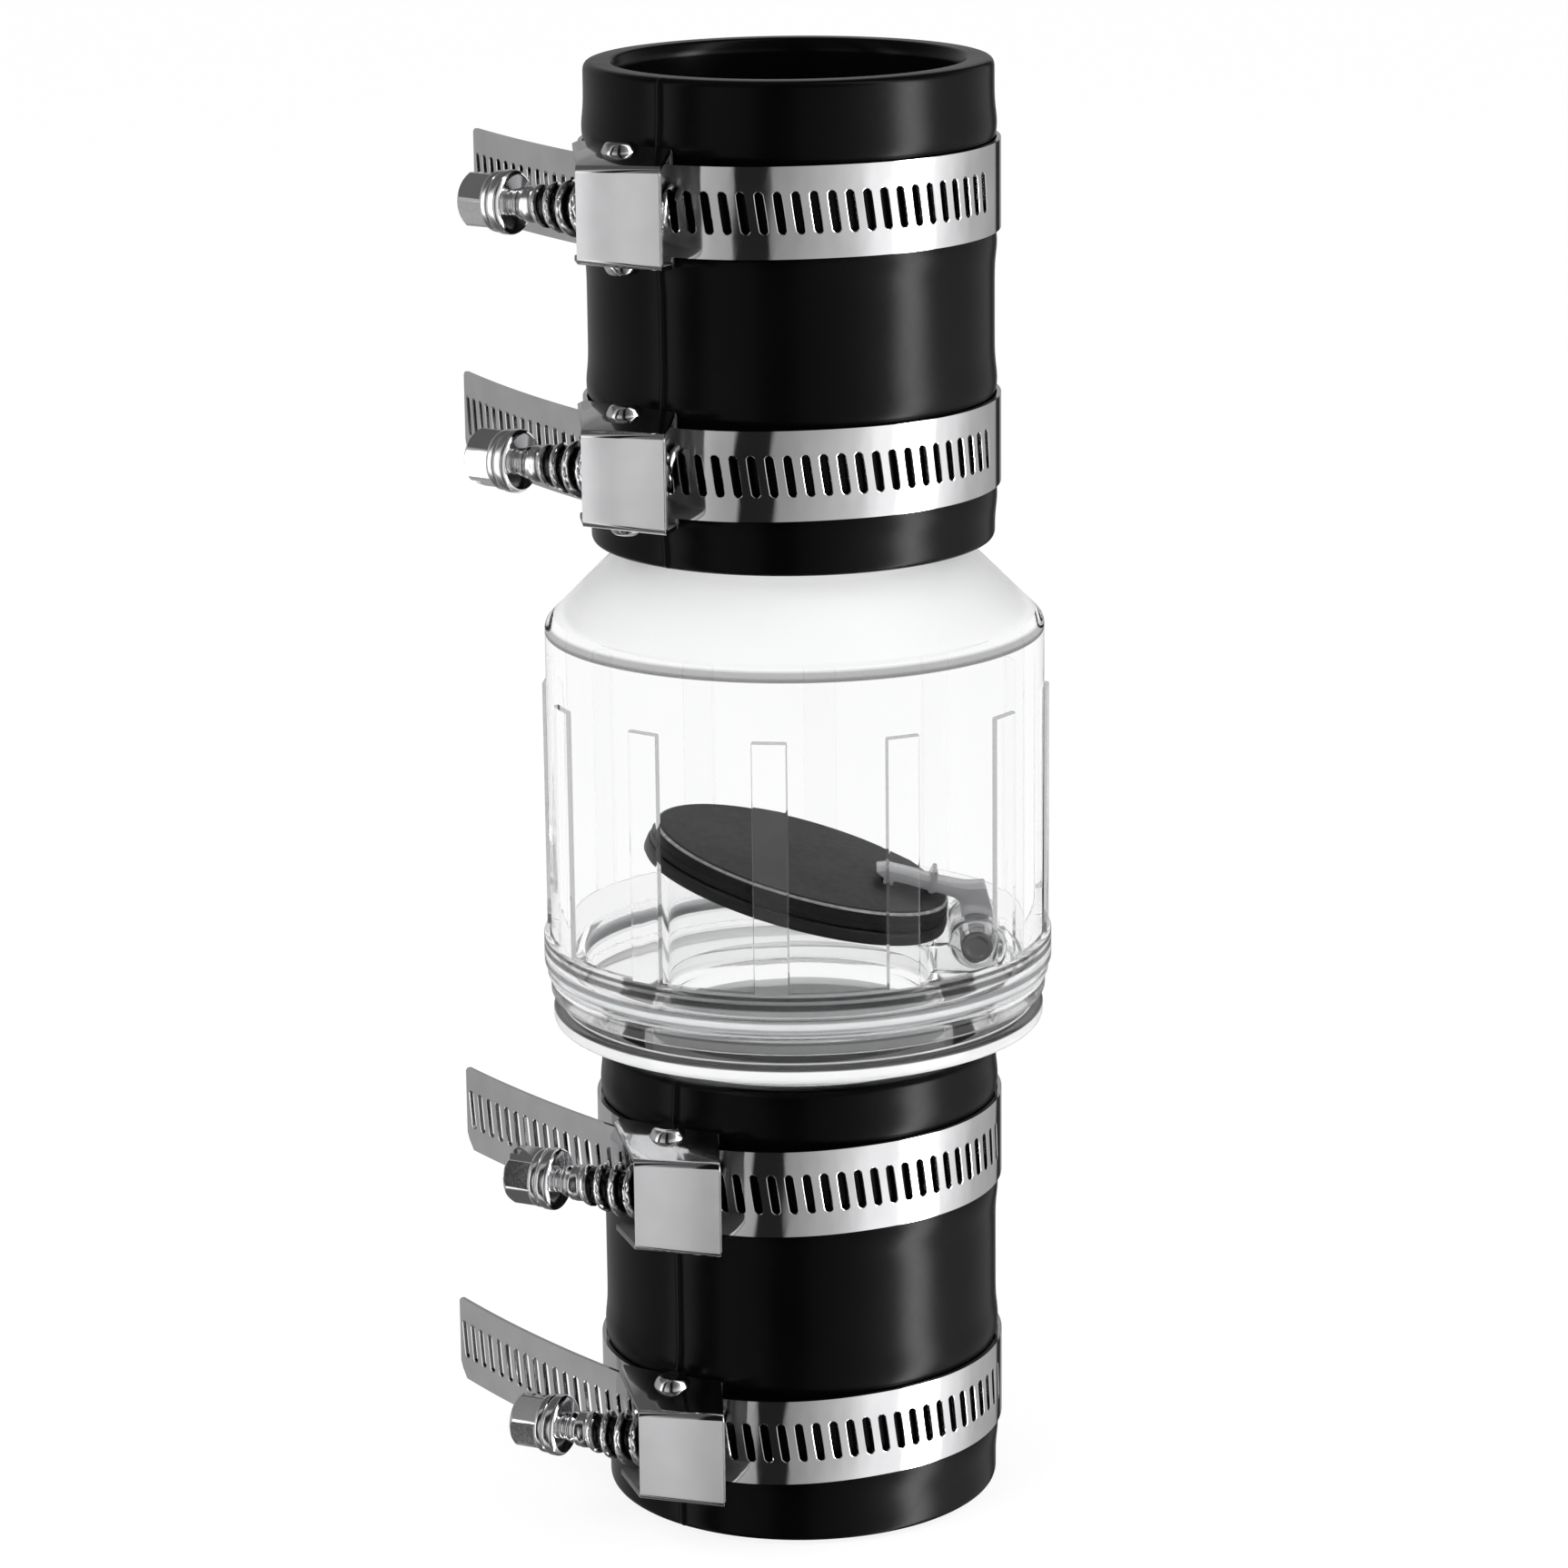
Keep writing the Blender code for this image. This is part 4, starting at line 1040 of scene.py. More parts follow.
def worm_thread() -> bpy.types.NodeTree:
    """Makes the tree that winds a flat grid into a worm, whose ridge rises out of the root at both ends.

    Returns:
        The tree.
    """
    shape = ShapeTree(
        "worm thread",
        (
            ("Start", "NodeSocketFloat", 0.0),
            ("Length", "NodeSocketFloat", 20.0),
            ("Pitch", "NodeSocketFloat", 2.5),
            ("Root", "NodeSocketFloat", 2.6),
            ("Crest", "NodeSocketFloat", 4.0),
            ("Tip Runout", "NodeSocketFloat", 5.0),
            ("Neck Runout", "NodeSocketFloat", 4.0),
            ("Material", "NodeSocketMaterial", None),
        ),
    )
    bench = shape.bench
    spot = bench.add("ShaderNodeSeparateXYZ", Vector=bench.add("GeometryNodeInputPosition").outputs[0])
    run = bench.scaled(spot.outputs[0], shape.given("Length"))
    turns = bench.math("SUBTRACT", bench.math("DIVIDE", run, shape.given("Pitch")), spot.outputs[1])
    phase = bench.math("SUBTRACT", bench.scaled(bench.math("FRACT", turns), 2.0), 1.0)
    wave = bench.math("SUBTRACT", 1.0, bench.math("ABSOLUTE", phase))
    ridge = bench.ramp(wave, 0.34, 0.78, 0.0, 1.0)
    rest = bench.math("SUBTRACT", shape.given("Length"), run)
    tip = bench.math("DIVIDE", run, shape.given("Tip Runout"))
    neck = bench.math("DIVIDE", rest, shape.given("Neck Runout"))
    ends = bench.math("MINIMUM", bench.math("MAXIMUM", bench.math("MINIMUM", tip, neck), 0.0), 1.0)
    depth = bench.math("SUBTRACT", shape.given("Crest"), shape.given("Root"))
    radius = bench.math("ADD", shape.given("Root"), bench.scaled(depth, bench.scaled(ridge, ends)))
    angle = bench.scaled(spot.outputs[1], 2 * math.pi)
    placed = bench.add(
        "ShaderNodeCombineXYZ",
        X=bench.math("ADD", run, shape.given("Start")),
        Y=bench.scaled(radius, bench.math("COSINE", angle)),
        Z=bench.scaled(radius, bench.math("SINE", angle)),
    )
    wound = bench.add("GeometryNodeSetPosition", Geometry=shape.given("Geometry"), Position=placed.outputs[0])
    whole = bench.add("GeometryNodeMergeByDistance", Geometry=wound.outputs[0], Distance=SEAM)
    return shape.end(whole.outputs[0])


# The valve's own parts


@dataclass
class RubberCoupling:
    """A rubber sleeve, which bulges a little beside each clamp's band.

    bands are the heights of the clamps on the valve. Under a band the rubber is pinched in. Beside it, the
    bulge is highest at bulge_place from the band's edge and fades over bulge_reach.
    """

    name: str
    bottom: float
    bands: tuple[float, float]
    length: float = 68.5
    bore: float = 24.3
    radius: float = 29.0
    soft: float = 1.7
    soft_low: float = 1.0
    mouth: float = 0.9
    band_half: float = 6.6
    pinch: float = 0.12
    bulge: float = 0.34
    bulge_place: float = 1.6
    bulge_reach: float = 2.6
    pinch_fade: float = 1.5
    sides: int = 192
    seam_angle: float = math.radians(-90.0 - 38.0)
    seam_height: float = 0.16
    seam_width: float = 0.35

    def outer(self, height: float) -> float:
        """Finds the sleeve's outer radius.

        Args:
            height: Height above its lower end.

        Returns:
            The radius.
        """
        swell = 0.0
        for band in self.bands:
            away = abs(height + self.bottom - band) - self.band_half
            if away < 0:
                swell -= self.pinch
            else:
                hump = self.bulge * math.exp(-(((away - self.bulge_place) / self.bulge_reach) ** 2))
                swell += hump - self.pinch * math.exp(-away * self.pinch_fade)
        return self.radius + swell

    def outline(self) -> Outline:
        """Draws the sleeve's outline, from its top edge down the outside and up the bore.

        Returns:
            The outline.
        """
        top, soft = self.length, self.soft
        corners = [Corner(self.bore + self.mouth, top, 0.5), Corner(self.outer(top), top, soft)]
        steps = 90
        for i in range(1, steps):
            height = top - soft * 1.2 - (top - 1.2 * (soft + self.soft_low)) * i / steps
            corners.append(Corner(self.outer(height), height))
        corners += [Corner(self.outer(0), 0, self.soft_low), Corner(self.bore + self.mouth, 0, 0.5)]
        corners += [Corner(self.bore, self.mouth * 1.6, 0.6), Corner(self.bore, top - self.mouth * 1.6, 0.6)]
        return softened(corners, 6)

    def seam(self, angle: float, radius: float, height: float) -> float:
        """Finds how far a mould's parting line stands out.

        Args:
            angle: Angle round the sleeve.
            radius: Radius of the surface.
            height: Height on the sleeve, which changes nothing.

        Returns:
            How far it stands out.
        """
        if radius < self.bore + 2:
            return 0.0
        away = (angle - self.seam_angle + math.pi) % (2 * math.pi) - math.pi
        far = (angle - self.seam_angle) % (2 * math.pi) - math.pi
        near = min(abs(away), abs(far)) * radius
        return self.seam_height * max(0.0, 1 - near / self.seam_width)

    def angles(self) -> list[float]:
        """Spreads the sides' corners, closer together at the two parting lines.

        Returns:
            Their angles, in order.
        """
        found = [2 * math.pi * i / self.sides for i in range(self.sides)]
        step = self.seam_width / self.radius
        for line in (self.seam_angle, self.seam_angle + math.pi):
            middle = line % (2 * math.pi)
            found = [a for a in found if abs(a - middle) > 1.6 * step]
            found += [middle + step * share for share in (-1.0, -0.5, 0.0, 0.5, 1.0)]
        return sorted(found)

    def build(self) -> None:
        """Makes the coupling."""
        mesh = turned(self.name, self.outline(), self.angles(), self.seam)
        place = Matrix.Translation((0, 0, self.bottom))
        piece(self.name + "_rubber", mesh, RUBBER, "valve", [self.name], place)


@dataclass
class Chamber:
    """The clear upper moulding: neck, cone, chamber wall with its grips, and the collar round the spigot.

    shoulder_rise and shoulder_drop are how far the bevelled shoulder goes above and below its height. A
    face of a grip is its front where it looks outwards by more than square_on, as a cosine.
    """

    neck_radius: float = 24.1
    neck_wall: float = 3.0
    neck_top: float = 176.5
    cone_top: float = 143.2
    shoulder: float = 131.2
    shoulder_rise: float = 1.3
    shoulder_drop: float = 1.35
    radius: float = 36.1
    wall: float = 3.0
    collar_radius: float = 37.2
    collar_top: float = 85.3
    collar_bottom: float = 80.8
    foot_radius: float = 36.8
    bottom: float = 78.9
    pocket_radius: float = 35.1
    pocket_top: float = 81.1
    grips: int = 12
    grip_width: float = 5.0
    grip_proud: float = 0.65
    grip_height: float = 36.5
    grip_turn: float = math.radians(5.9)
    square_on: float = 0.97

    def outline(self) -> Outline:
        """Draws the moulding's outline, down the outside and up the inside.

        Returns:
            The outline.
        """
        bore = self.radius - self.wall
        neck_bore = self.neck_radius - self.neck_wall
        inner_shoulder = self.shoulder - self.wall * (math.sqrt(2) - 1)
        return softened(
            [
                Corner(self.neck_radius, self.neck_top, 0.8),
                Corner(self.neck_radius, self.cone_top, 1.2),
                Corner(self.radius - self.shoulder_rise, self.shoulder + self.shoulder_rise),
                Corner(self.radius, self.shoulder, 1.0),
                Corner(self.radius, self.shoulder - self.shoulder_drop),
                Corner(self.radius, self.collar_top, 0.4),
                Corner(self.collar_radius, self.collar_top, 0.5),
                Corner(self.collar_radius, self.collar_bottom, 0.5),
                Corner(self.foot_radius, self.collar_bottom, 0.25),
                Corner(self.foot_radius, self.bottom, 0.5),
                Corner(self.pocket_radius, self.bottom, 0.3),
                Corner(self.pocket_radius, self.pocket_top, 0.3),
                Corner(bore, self.pocket_top, 0.4),
                Corner(bore, inner_shoulder, 1.6),
                Corner(neck_bore, inner_shoulder + bore - neck_bore, 1.6),
                Corner(neck_bore, self.neck_top, 0.8),
            ],
            5,
        )

    def rib(self) -> bpy.types.Object:
        """Makes one grip, which runs from inside the collar up the front of the chamber's wall.

        Returns:
            The grip as a working object.
        """
        low, high = self.collar_top - 1.5, self.collar_top + self.grip_height
        half, inner = self.grip_width / 2, self.radius - 1.0
        outer = self.radius + self.grip_proud
        mesh = box_mesh("grip", Vector((-half, -outer, low)), Vector((half, -inner, high)))
        return linked("grip", bevelled(mesh, 0.3, 3))

    def build(self) -> None:
        """Makes the chamber with its ring of grips."""
        rib = self.rib()
        values = {
            "Rib": rib,
            "Count": self.grips,
            "Turn": -self.grip_turn,
            "Material": CLEAR_PLASTIC.material(),
        }
        mesh = run_tree(ring_of_grips(), turned("chamber", self.outline()), values)
        bpy.data.objects.remove(rib)
        obj = piece("chamber_moulding", mesh, CLEAR_PLASTIC, "valve", ["chamber"])
        others = (FROSTED_PLASTIC, FLANGE_PLASTIC, SHOULDER_PLASTIC, GRIP_PLASTIC, GRIP_EDGE_PLASTIC)
        redress(obj, others, self.zone)

    def zone(self, middle: Vector, normal: Vector) -> Optional[Finish]:
        """Picks the cone's, the collar's, the shoulder's or the grips' finish for a face.

        Args:
            middle: The face's middle in millimetres.
            normal: Its normal.

        Returns:
            The finish, or None where the wall is plain.
        """
        out = Vector((middle.x, middle.y, 0))
        # The shoulder, collar and grip side faces take finishes with painted shade
        if middle.z > self.shoulder + self.shoulder_rise:
            return FROSTED_PLASTIC
        if middle.z < self.collar_top + 0.02:
            return FLANGE_PLASTIC if out.length > self.foot_radius - 0.8 else None
        if middle.z > self.shoulder - self.shoulder_drop:
            return SHOULDER_PLASTIC if out.length > self.radius - 1.5 else None
        if out.length < self.radius + 0.03:
            return None
        return GRIP_PLASTIC if normal.dot(out.normalized()) > self.square_on else GRIP_EDGE_PLASTIC


@dataclass
class SealRing:
    """The ring that the chamber's foot presses on the base."""

    radius: float = 33.95
    height: float = 79.75
    section: float = 0.95
    steps: int = 16

    def build(self) -> None:
        """Makes the ring."""
        outline = []
        for i in range(self.steps):
            angle = -2 * math.pi * i / self.steps
            radius = self.radius + self.section * math.cos(angle)
            outline.append((radius, self.height + self.section * math.sin(angle)))
        mesh = turned("seal", outline)
        piece("seal_ring_silicone", mesh, SILICONE, "valve", ["seal_ring"], edge=math.pi)


@dataclass
class Seat:
    """Where the slanted seat lies: its own X runs down the slant to the hinge, and its Z is square to it."""

    centre: float = 90.3
    slant: float = math.radians(16.0)
    pin_x: float = 26.0
    pin_z: float = 83.5217

    @property
    def frame(self) -> Matrix:
        """The seat's frame in the valve."""
        return Matrix.Translation((0, 0, self.centre)) @ Matrix.Rotation(self.slant, 4, "Y")

    @property
    def pin(self) -> tuple[float, float]:
        """The pin's place (x, z) in the seat's frame."""
        point = self.frame.inverted() @ Vector((self.pin_x, 0, self.pin_z))
        return point.x, point.z


@dataclass
class Base:
    """The clear lower moulding: neck, flange rings, spigot, slanted seat tube and the hinge's ears."""

    seat: Seat
    neck_radius: float = 24.1
    neck_bore: float = 21.1
    neck_bottom: float = 35.5
    boss_radius: float = 27.0
    boss_bottom: float = 68.8
    lip_radius: float = 36.0
    lip_bottom: float = 71.85
    lip_top: float = 74.2
    groove_radius: float = 34.6
    groove_middle: float = 75.15
    land_bottom: float = 76.2
    land_radius: float = 36.3
    land_top: float = 78.6
    floor_top: float = 76.45
    spigot_radius: float = 32.8
    spigot_wall: float = 1.6
    spigot_top: float = 82.8
    tube_radius: float = 20.5
    tube_bore: float = 19.0
    eye_radius: float = 4.2
    ear_inner: float = 5.0
    ear_thickness: float = 2.5
    pin_bore: float = 2.4

    def outline(self) -> Outline:
        """Draws the moulding's outline, with the seat tube cut square and too long.

        Returns:
            The outline.
        """
        top = self.seat.centre + self.tube_radius * math.tan(self.seat.slant) + 0.3
        step = self.lip_bottom + 2.3
        inner = self.spigot_radius - self.spigot_wall
        return softened(
            [
                Corner(self.tube_radius, top),
                Corner(self.tube_radius, self.floor_top, 0.8),
                Corner(inner, self.floor_top, 0.8),
                Corner(inner, self.spigot_top, 0.4),
                Corner(self.spigot_radius, self.spigot_top, 0.5),
                Corner(self.spigot_radius, self.land_top, 0.25),
                Corner(self.land_radius, self.land_top, 0.45),
                Corner(self.land_radius, self.land_bottom, 0.6),
                Corner(self.groove_radius, self.land_bottom, 0.5),
                Corner(self.groove_radius, self.lip_top, 0.5),
                Corner(self.lip_radius, self.lip_top, 0.8),
                Corner(self.lip_radius, self.lip_bottom, 1.0),
                Corner(self.boss_radius, self.lip_bottom, 0.6),
                Corner(self.boss_radius, self.boss_bottom, 0.4),
                Corner(self.neck_radius, self.boss_bottom, 0.3),
                Corner(self.neck_radius, self.neck_bottom, 0.8),
                Corner(self.neck_bore, self.neck_bottom, 0.8),
                Corner(self.neck_bore, self.boss_bottom + 2.0),
                Corner(self.neck_bore, step - (self.neck_bore - self.tube_bore), 0.8),
                Corner(self.tube_bore, step, 0.8),
                Corner(self.tube_bore, top),
            ],
            5,
        )

    def ear(self, side: Side) -> bpy.types.Mesh:
        """One ear: an eye for the pin with a web back to the seat tube.

        Args:
            side: LOW for the near ear, HIGH for the far one.

        Returns:
            The ear as one solid.
        """
        x, z, eye = self.seat.pin_x, self.seat.pin_z, self.eye_radius
        slope = math.tan(self.seat.slant)
        middle = side * (self.ear_inner + self.ear_thickness / 2)
        start = math.sqrt(((self.tube_radius + self.tube_bore) / 2) ** 2 - middle**2)
        web_top = self.seat.centre - self.tube_radius * slope - 1.3 * slope - 0.3
        outline: Outline = [(start, z - 0.9 * eye)]
        steps = 40
        for i in range(steps + 1):
            angle = math.radians(-105 + 255 * i / steps)
            outline.append((x + eye * math.cos(angle), z + eye * math.sin(angle)))
        outline += [(x - eye * 0.95, web_top), (start, web_top)]
        mesh = bevelled(slab("ear", outline, self.ear_thickness), 0.25, 3)
        mesh.transform(Matrix.Translation((0, middle, 0)) @ Matrix.Rotation(math.pi / 2, 4, "X"))
        return cleaned(mesh)

    def build(self) -> None:
        """Makes the base."""
        reach = 3 * self.tube_radius
        low, high = Vector((-reach, -reach, 0)), Vector((reach, reach, 2 * reach))
        above = box_mesh("above", low, high, self.seat.frame)
        bore = turned("bore", [(0, 12), (self.pin_bore, 12), (self.pin_bore, -12), (0, -12)], 64)
        bore.transform(along_y(self.seat.pin_x, self.seat.pin_z))
        ears = [(Step.JOIN, self.ear(side)) for side in (Side.LOW, Side.HIGH)]
        steps = [(Step.CUT, above), *ears, (Step.CUT, bore)]
        mesh = combined(turned("base", self.outline()), steps)
        obj = piece("base_moulding", mesh, CLEAR_PLASTIC, "valve", ["base"])
        others = (FLANGE_PLASTIC, LIP_PLASTIC, EAR_PLASTIC, FLOOR_PLASTIC, BORE_PLASTIC)
        redress(obj, others, self.zone)

    def zone(self, middle: Vector, normal: Vector) -> Optional[Finish]:
        """Picks the land's, the lip's, the floor's, the bore's or the ears' finish for a face.

        Args:
            middle: The face's middle in millimetres.
            normal: Its normal.

        Returns:
            The finish, or None where the wall is plain.
        """
        out = Vector((middle.x, middle.y, 0))
        radius = math.hypot(middle.x, middle.y)
        # The land and lip take finishes with painted shade by height
        if radius > self.groove_radius - 0.5 and middle.z < self.land_top + 0.1:
            return FLANGE_PLASTIC if middle.z > self.groove_middle else LIP_PLASTIC
        if abs(middle.z - self.floor_top) < 0.3 and self.tube_radius < radius < self.spigot_radius:
            return FLOOR_PLASTIC
        if radius < self.neck_bore + 0.1 and middle.z < self.boss_bottom + 2.0 and normal.dot(out) < 0:
            return BORE_PLASTIC
        inner, outer = self.ear_inner - 0.1, self.ear_inner + self.ear_thickness + 0.1
        beside = middle.x > self.tube_radius + 0.2 and middle.z > self.floor_top + 0.6
        return EAR_PLASTIC if beside and inner < abs(middle.y) < outer else None


@dataclass
class Flap:
    """The flap: a stiff disc, its rubber facing, the arm that carries it, and the pin it turns on."""

    seat: Seat
    offset: float = -0.6
    rest_gap: float = 0.3
    facing_radius: float = 22.9
    facing: float = 1.8
    button_radius: float = 4.0
    button: float = 1.8
    layer_gap: float = 0.2
    disc_radius: float = 22.5
    disc: float = 3.0
    pin_radius: float = 2.25
    pin_half: float = 7.5
    barrel_radius: float = 3.9
    arm_width: float = 9.4
    strap_width: float = 5.6
    strap: float = 1.3
    strap_lift: float = 0.6
    strap_length: float = 16.8

    @property
    def top(self) -> float:
        """Height of the flap's upper face over the seat."""
        return self.rest_gap + self.facing + self.layer_gap + self.disc

    def on_seat(self, x: float, z: float) -> Matrix:
        """A place over the seat, in the valve."""
        return self.seat.frame @ Matrix.Translation((x, 0, z))

    def build_facing(self) -> None:
        """Makes the rubber facing with its sealing bead and button."""
        r, thick = self.facing_radius, self.facing + self.layer_gap * 0.8
        top = self.facing + self.button
        corners = [Corner(0, top), Corner(self.button_radius, top, 0.5)]
        corners += [Corner(self.button_radius, thick, 0.3), Corner(r, thick, 0.45), Corner(r, 0.0, 0.6)]
        corners += [Corner(20.4, 0.0, 0.2), Corner(19.9, 0.35, 0.2), Corner(0, 0.35)]
        mesh = turned("facing", softened(corners, 5, closed=False))
        place = self.on_seat(self.offset, self.rest_gap)
        piece("flap_facing_rubber", mesh, FACING_RUBBER, "flap", ["flap_facing"], place)

    def build_disc(self) -> None:
        """Makes the disc, crowned a little, with a fine step round its rim."""
        r, thick = self.disc_radius, self.disc
        hole, deep = self.button_radius + self.layer_gap, self.button + self.layer_gap
        corners = [Corner(0, thick), Corner(r - 0.9, thick - 0.05, 0.5), Corner(r - 0.2, thick - 0.5, 0.5)]
        corners += [Corner(r - 0.2, thick * 0.42, 0.15), Corner(r, thick * 0.38, 0.15), Corner(r, 0, 0.4)]
        corners += [Corner(hole, 0, 0.2), Corner(hole, deep, 0.2), Corner(0, deep)]
        mesh = turned("disc", softened(corners, 5, closed=False))
        pin_x, _ = self.seat.pin
        foot = pin_x - self.strap_length + 1.5 + 0.75 - self.offset
        low = Vector((foot - 0.95, -self.strap_width / 2 - 0.2, thick - 1.8))
        high = Vector((foot + 0.95, self.strap_width / 2 + 0.2, thick + 1.0))
        mesh = combined(mesh, [(Step.CUT, box_mesh("pocket", low, high))])
        place = self.on_seat(self.offset, self.rest_gap + self.facing + self.layer_gap)
        obj = piece("flap_disc_plastic", mesh, FLAP_PLASTIC, "flap", ["flap_disc"], place)
        back = place.inverted()

        def rim(middle: Vector, _: Vector) -> Optional[Finish]:
            """Picks the rim's finish, a lighter painted highlight with real gloss, for a face on the disc's
            upper edge.

            Args:
                middle: The face's middle in millimetres.

            Returns:
                The finish, or None for the rest of the disc.
            """
            spot = back @ middle
            on_edge = spot.z > thick - 0.45 and r - 0.75 < math.hypot(spot.x, spot.y) < r - 0.3
            return RIM_HIGHLIGHT_PLASTIC if on_edge else None

        redress(obj, (RIM_HIGHLIGHT_PLASTIC,), rim)

    def arm_outline(self) -> Outline:
        """Draws the arm's side view in the seat's frame, from the strap's tip to the barrel.

        Returns:
            The outline.
        """
        pin_x, pin_z = self.seat.pin
        low, stand_low = self.top + self.strap_lift, self.top + 0.2
        high = low + self.strap
        tip, edge = pin_x - self.strap_length, self.offset + self.disc_radius - 2.8
        foot = tip + 1.5
        reach = self.barrel_radius * 0.7
        corners = [
            Corner(tip, (low + high) / 2, 0.3),
            Corner(foot, low, 0.2),
            Corner(foot, self.top - 1.6, 0.2),
            Corner(foot + 1.5, self.top - 1.6, 0.2),
            Corner(foot + 1.5, low, 0.3),
            Corner(edge - 1.0, low, 0.2),
            Corner(edge - 0.8, stand_low, 0.15),
            Corner(edge - 0.1, stand_low, 0.15),
            Corner(edge + 0.1, low, 0.3),
            Corner(pin_x - reach - 1.0, low - 0.1, 1.6),
            Corner(pin_x - reach, pin_z + 2.4, 1.0),
            Corner(pin_x - reach, pin_z),
            Corner(pin_x + reach, pin_z),
            Corner(pin_x + self.barrel_radius * 0.6, pin_z + self.barrel_radius * 0.7, 0.6),
            Corner(pin_x - 0.6, high + 1.2, 0.35),
            Corner(pin_x - 3.2, high + 0.25, 1.8),
            Corner(edge, high, 0.3),
            Corner(edge - 0.15, high + 1.5, 0.2),
            Corner(edge - 0.75, high + 1.5, 0.2),
            Corner(edge - 1.0, high, 0.3),
            Corner(foot, high, 0.3),
        ]
        return softened(corners, 4)

    def build_arm(self) -> None:
        """Makes the arm with its barrel round the pin."""
        strap = bevelled(slab("arm", self.arm_outline(), self.strap_width), 0.22, 2)
        strap.transform(self.seat.frame @ Matrix.Rotation(math.pi / 2, 4, "X"))
        half = self.arm_width / 2
        place = along_y(self.seat.pin_x, self.seat.pin_z)
        round_end = Corner(self.barrel_radius, half, 0.4), Corner(self.barrel_radius, -half, 0.4)
        corners = [Corner(0, half), *round_end, Corner(0, -half)]
        barrel = turned("barrel", softened(corners, 4, closed=False), 72)
        barrel.transform(place)
        loose = self.pin_radius + 0.15
        bore = turned("bore", [(0, 9), (loose, 9), (loose, -9), (0, -9)], 64)
        bore.transform(place)
        mesh = combined(cleaned(strap), [(Step.JOIN, barrel), (Step.CUT, bore)])
        obj = piece("hinge_arm_plastic", mesh, SMOKE_PLASTIC, "flap", ["hinge_arm"])

        def eye(middle: Vector, _: Vector) -> Optional[Finish]:
            """Picks the ears' plastic for a face of the barrel."""
            away = math.hypot(middle.x - self.seat.pin_x, middle.z - self.seat.pin_z)
            return EAR_PLASTIC if away < self.barrel_radius + 0.05 else None

        redress(obj, (EAR_PLASTIC,), eye)

    def build_pin(self) -> None:
        """Makes the pin, with a dished end."""
        r, half = self.pin_radius, self.pin_half
        corners = [Corner(0, half - 0.35), Corner(r - 0.9, half - 0.3, 0.2)]
        corners += [Corner(r - 0.6, half, 0.2), Corner(r, half, 0.3)]
        corners += [Corner(c.r, -c.z, c.soft) for c in reversed(corners)]
        mesh = turned("pin", softened(corners, 4, closed=False), 72)
        place = along_y(self.seat.pin_x, self.seat.pin_z)
        piece("hinge_pin_plastic", mesh, PIN_PLASTIC, "valve", ["hinge_pin"], place)

    def build(self) -> None:
        """Makes the flap's four pieces."""
        self.build_facing()
        self.build_disc()
        self.build_arm()
        self.build_pin()


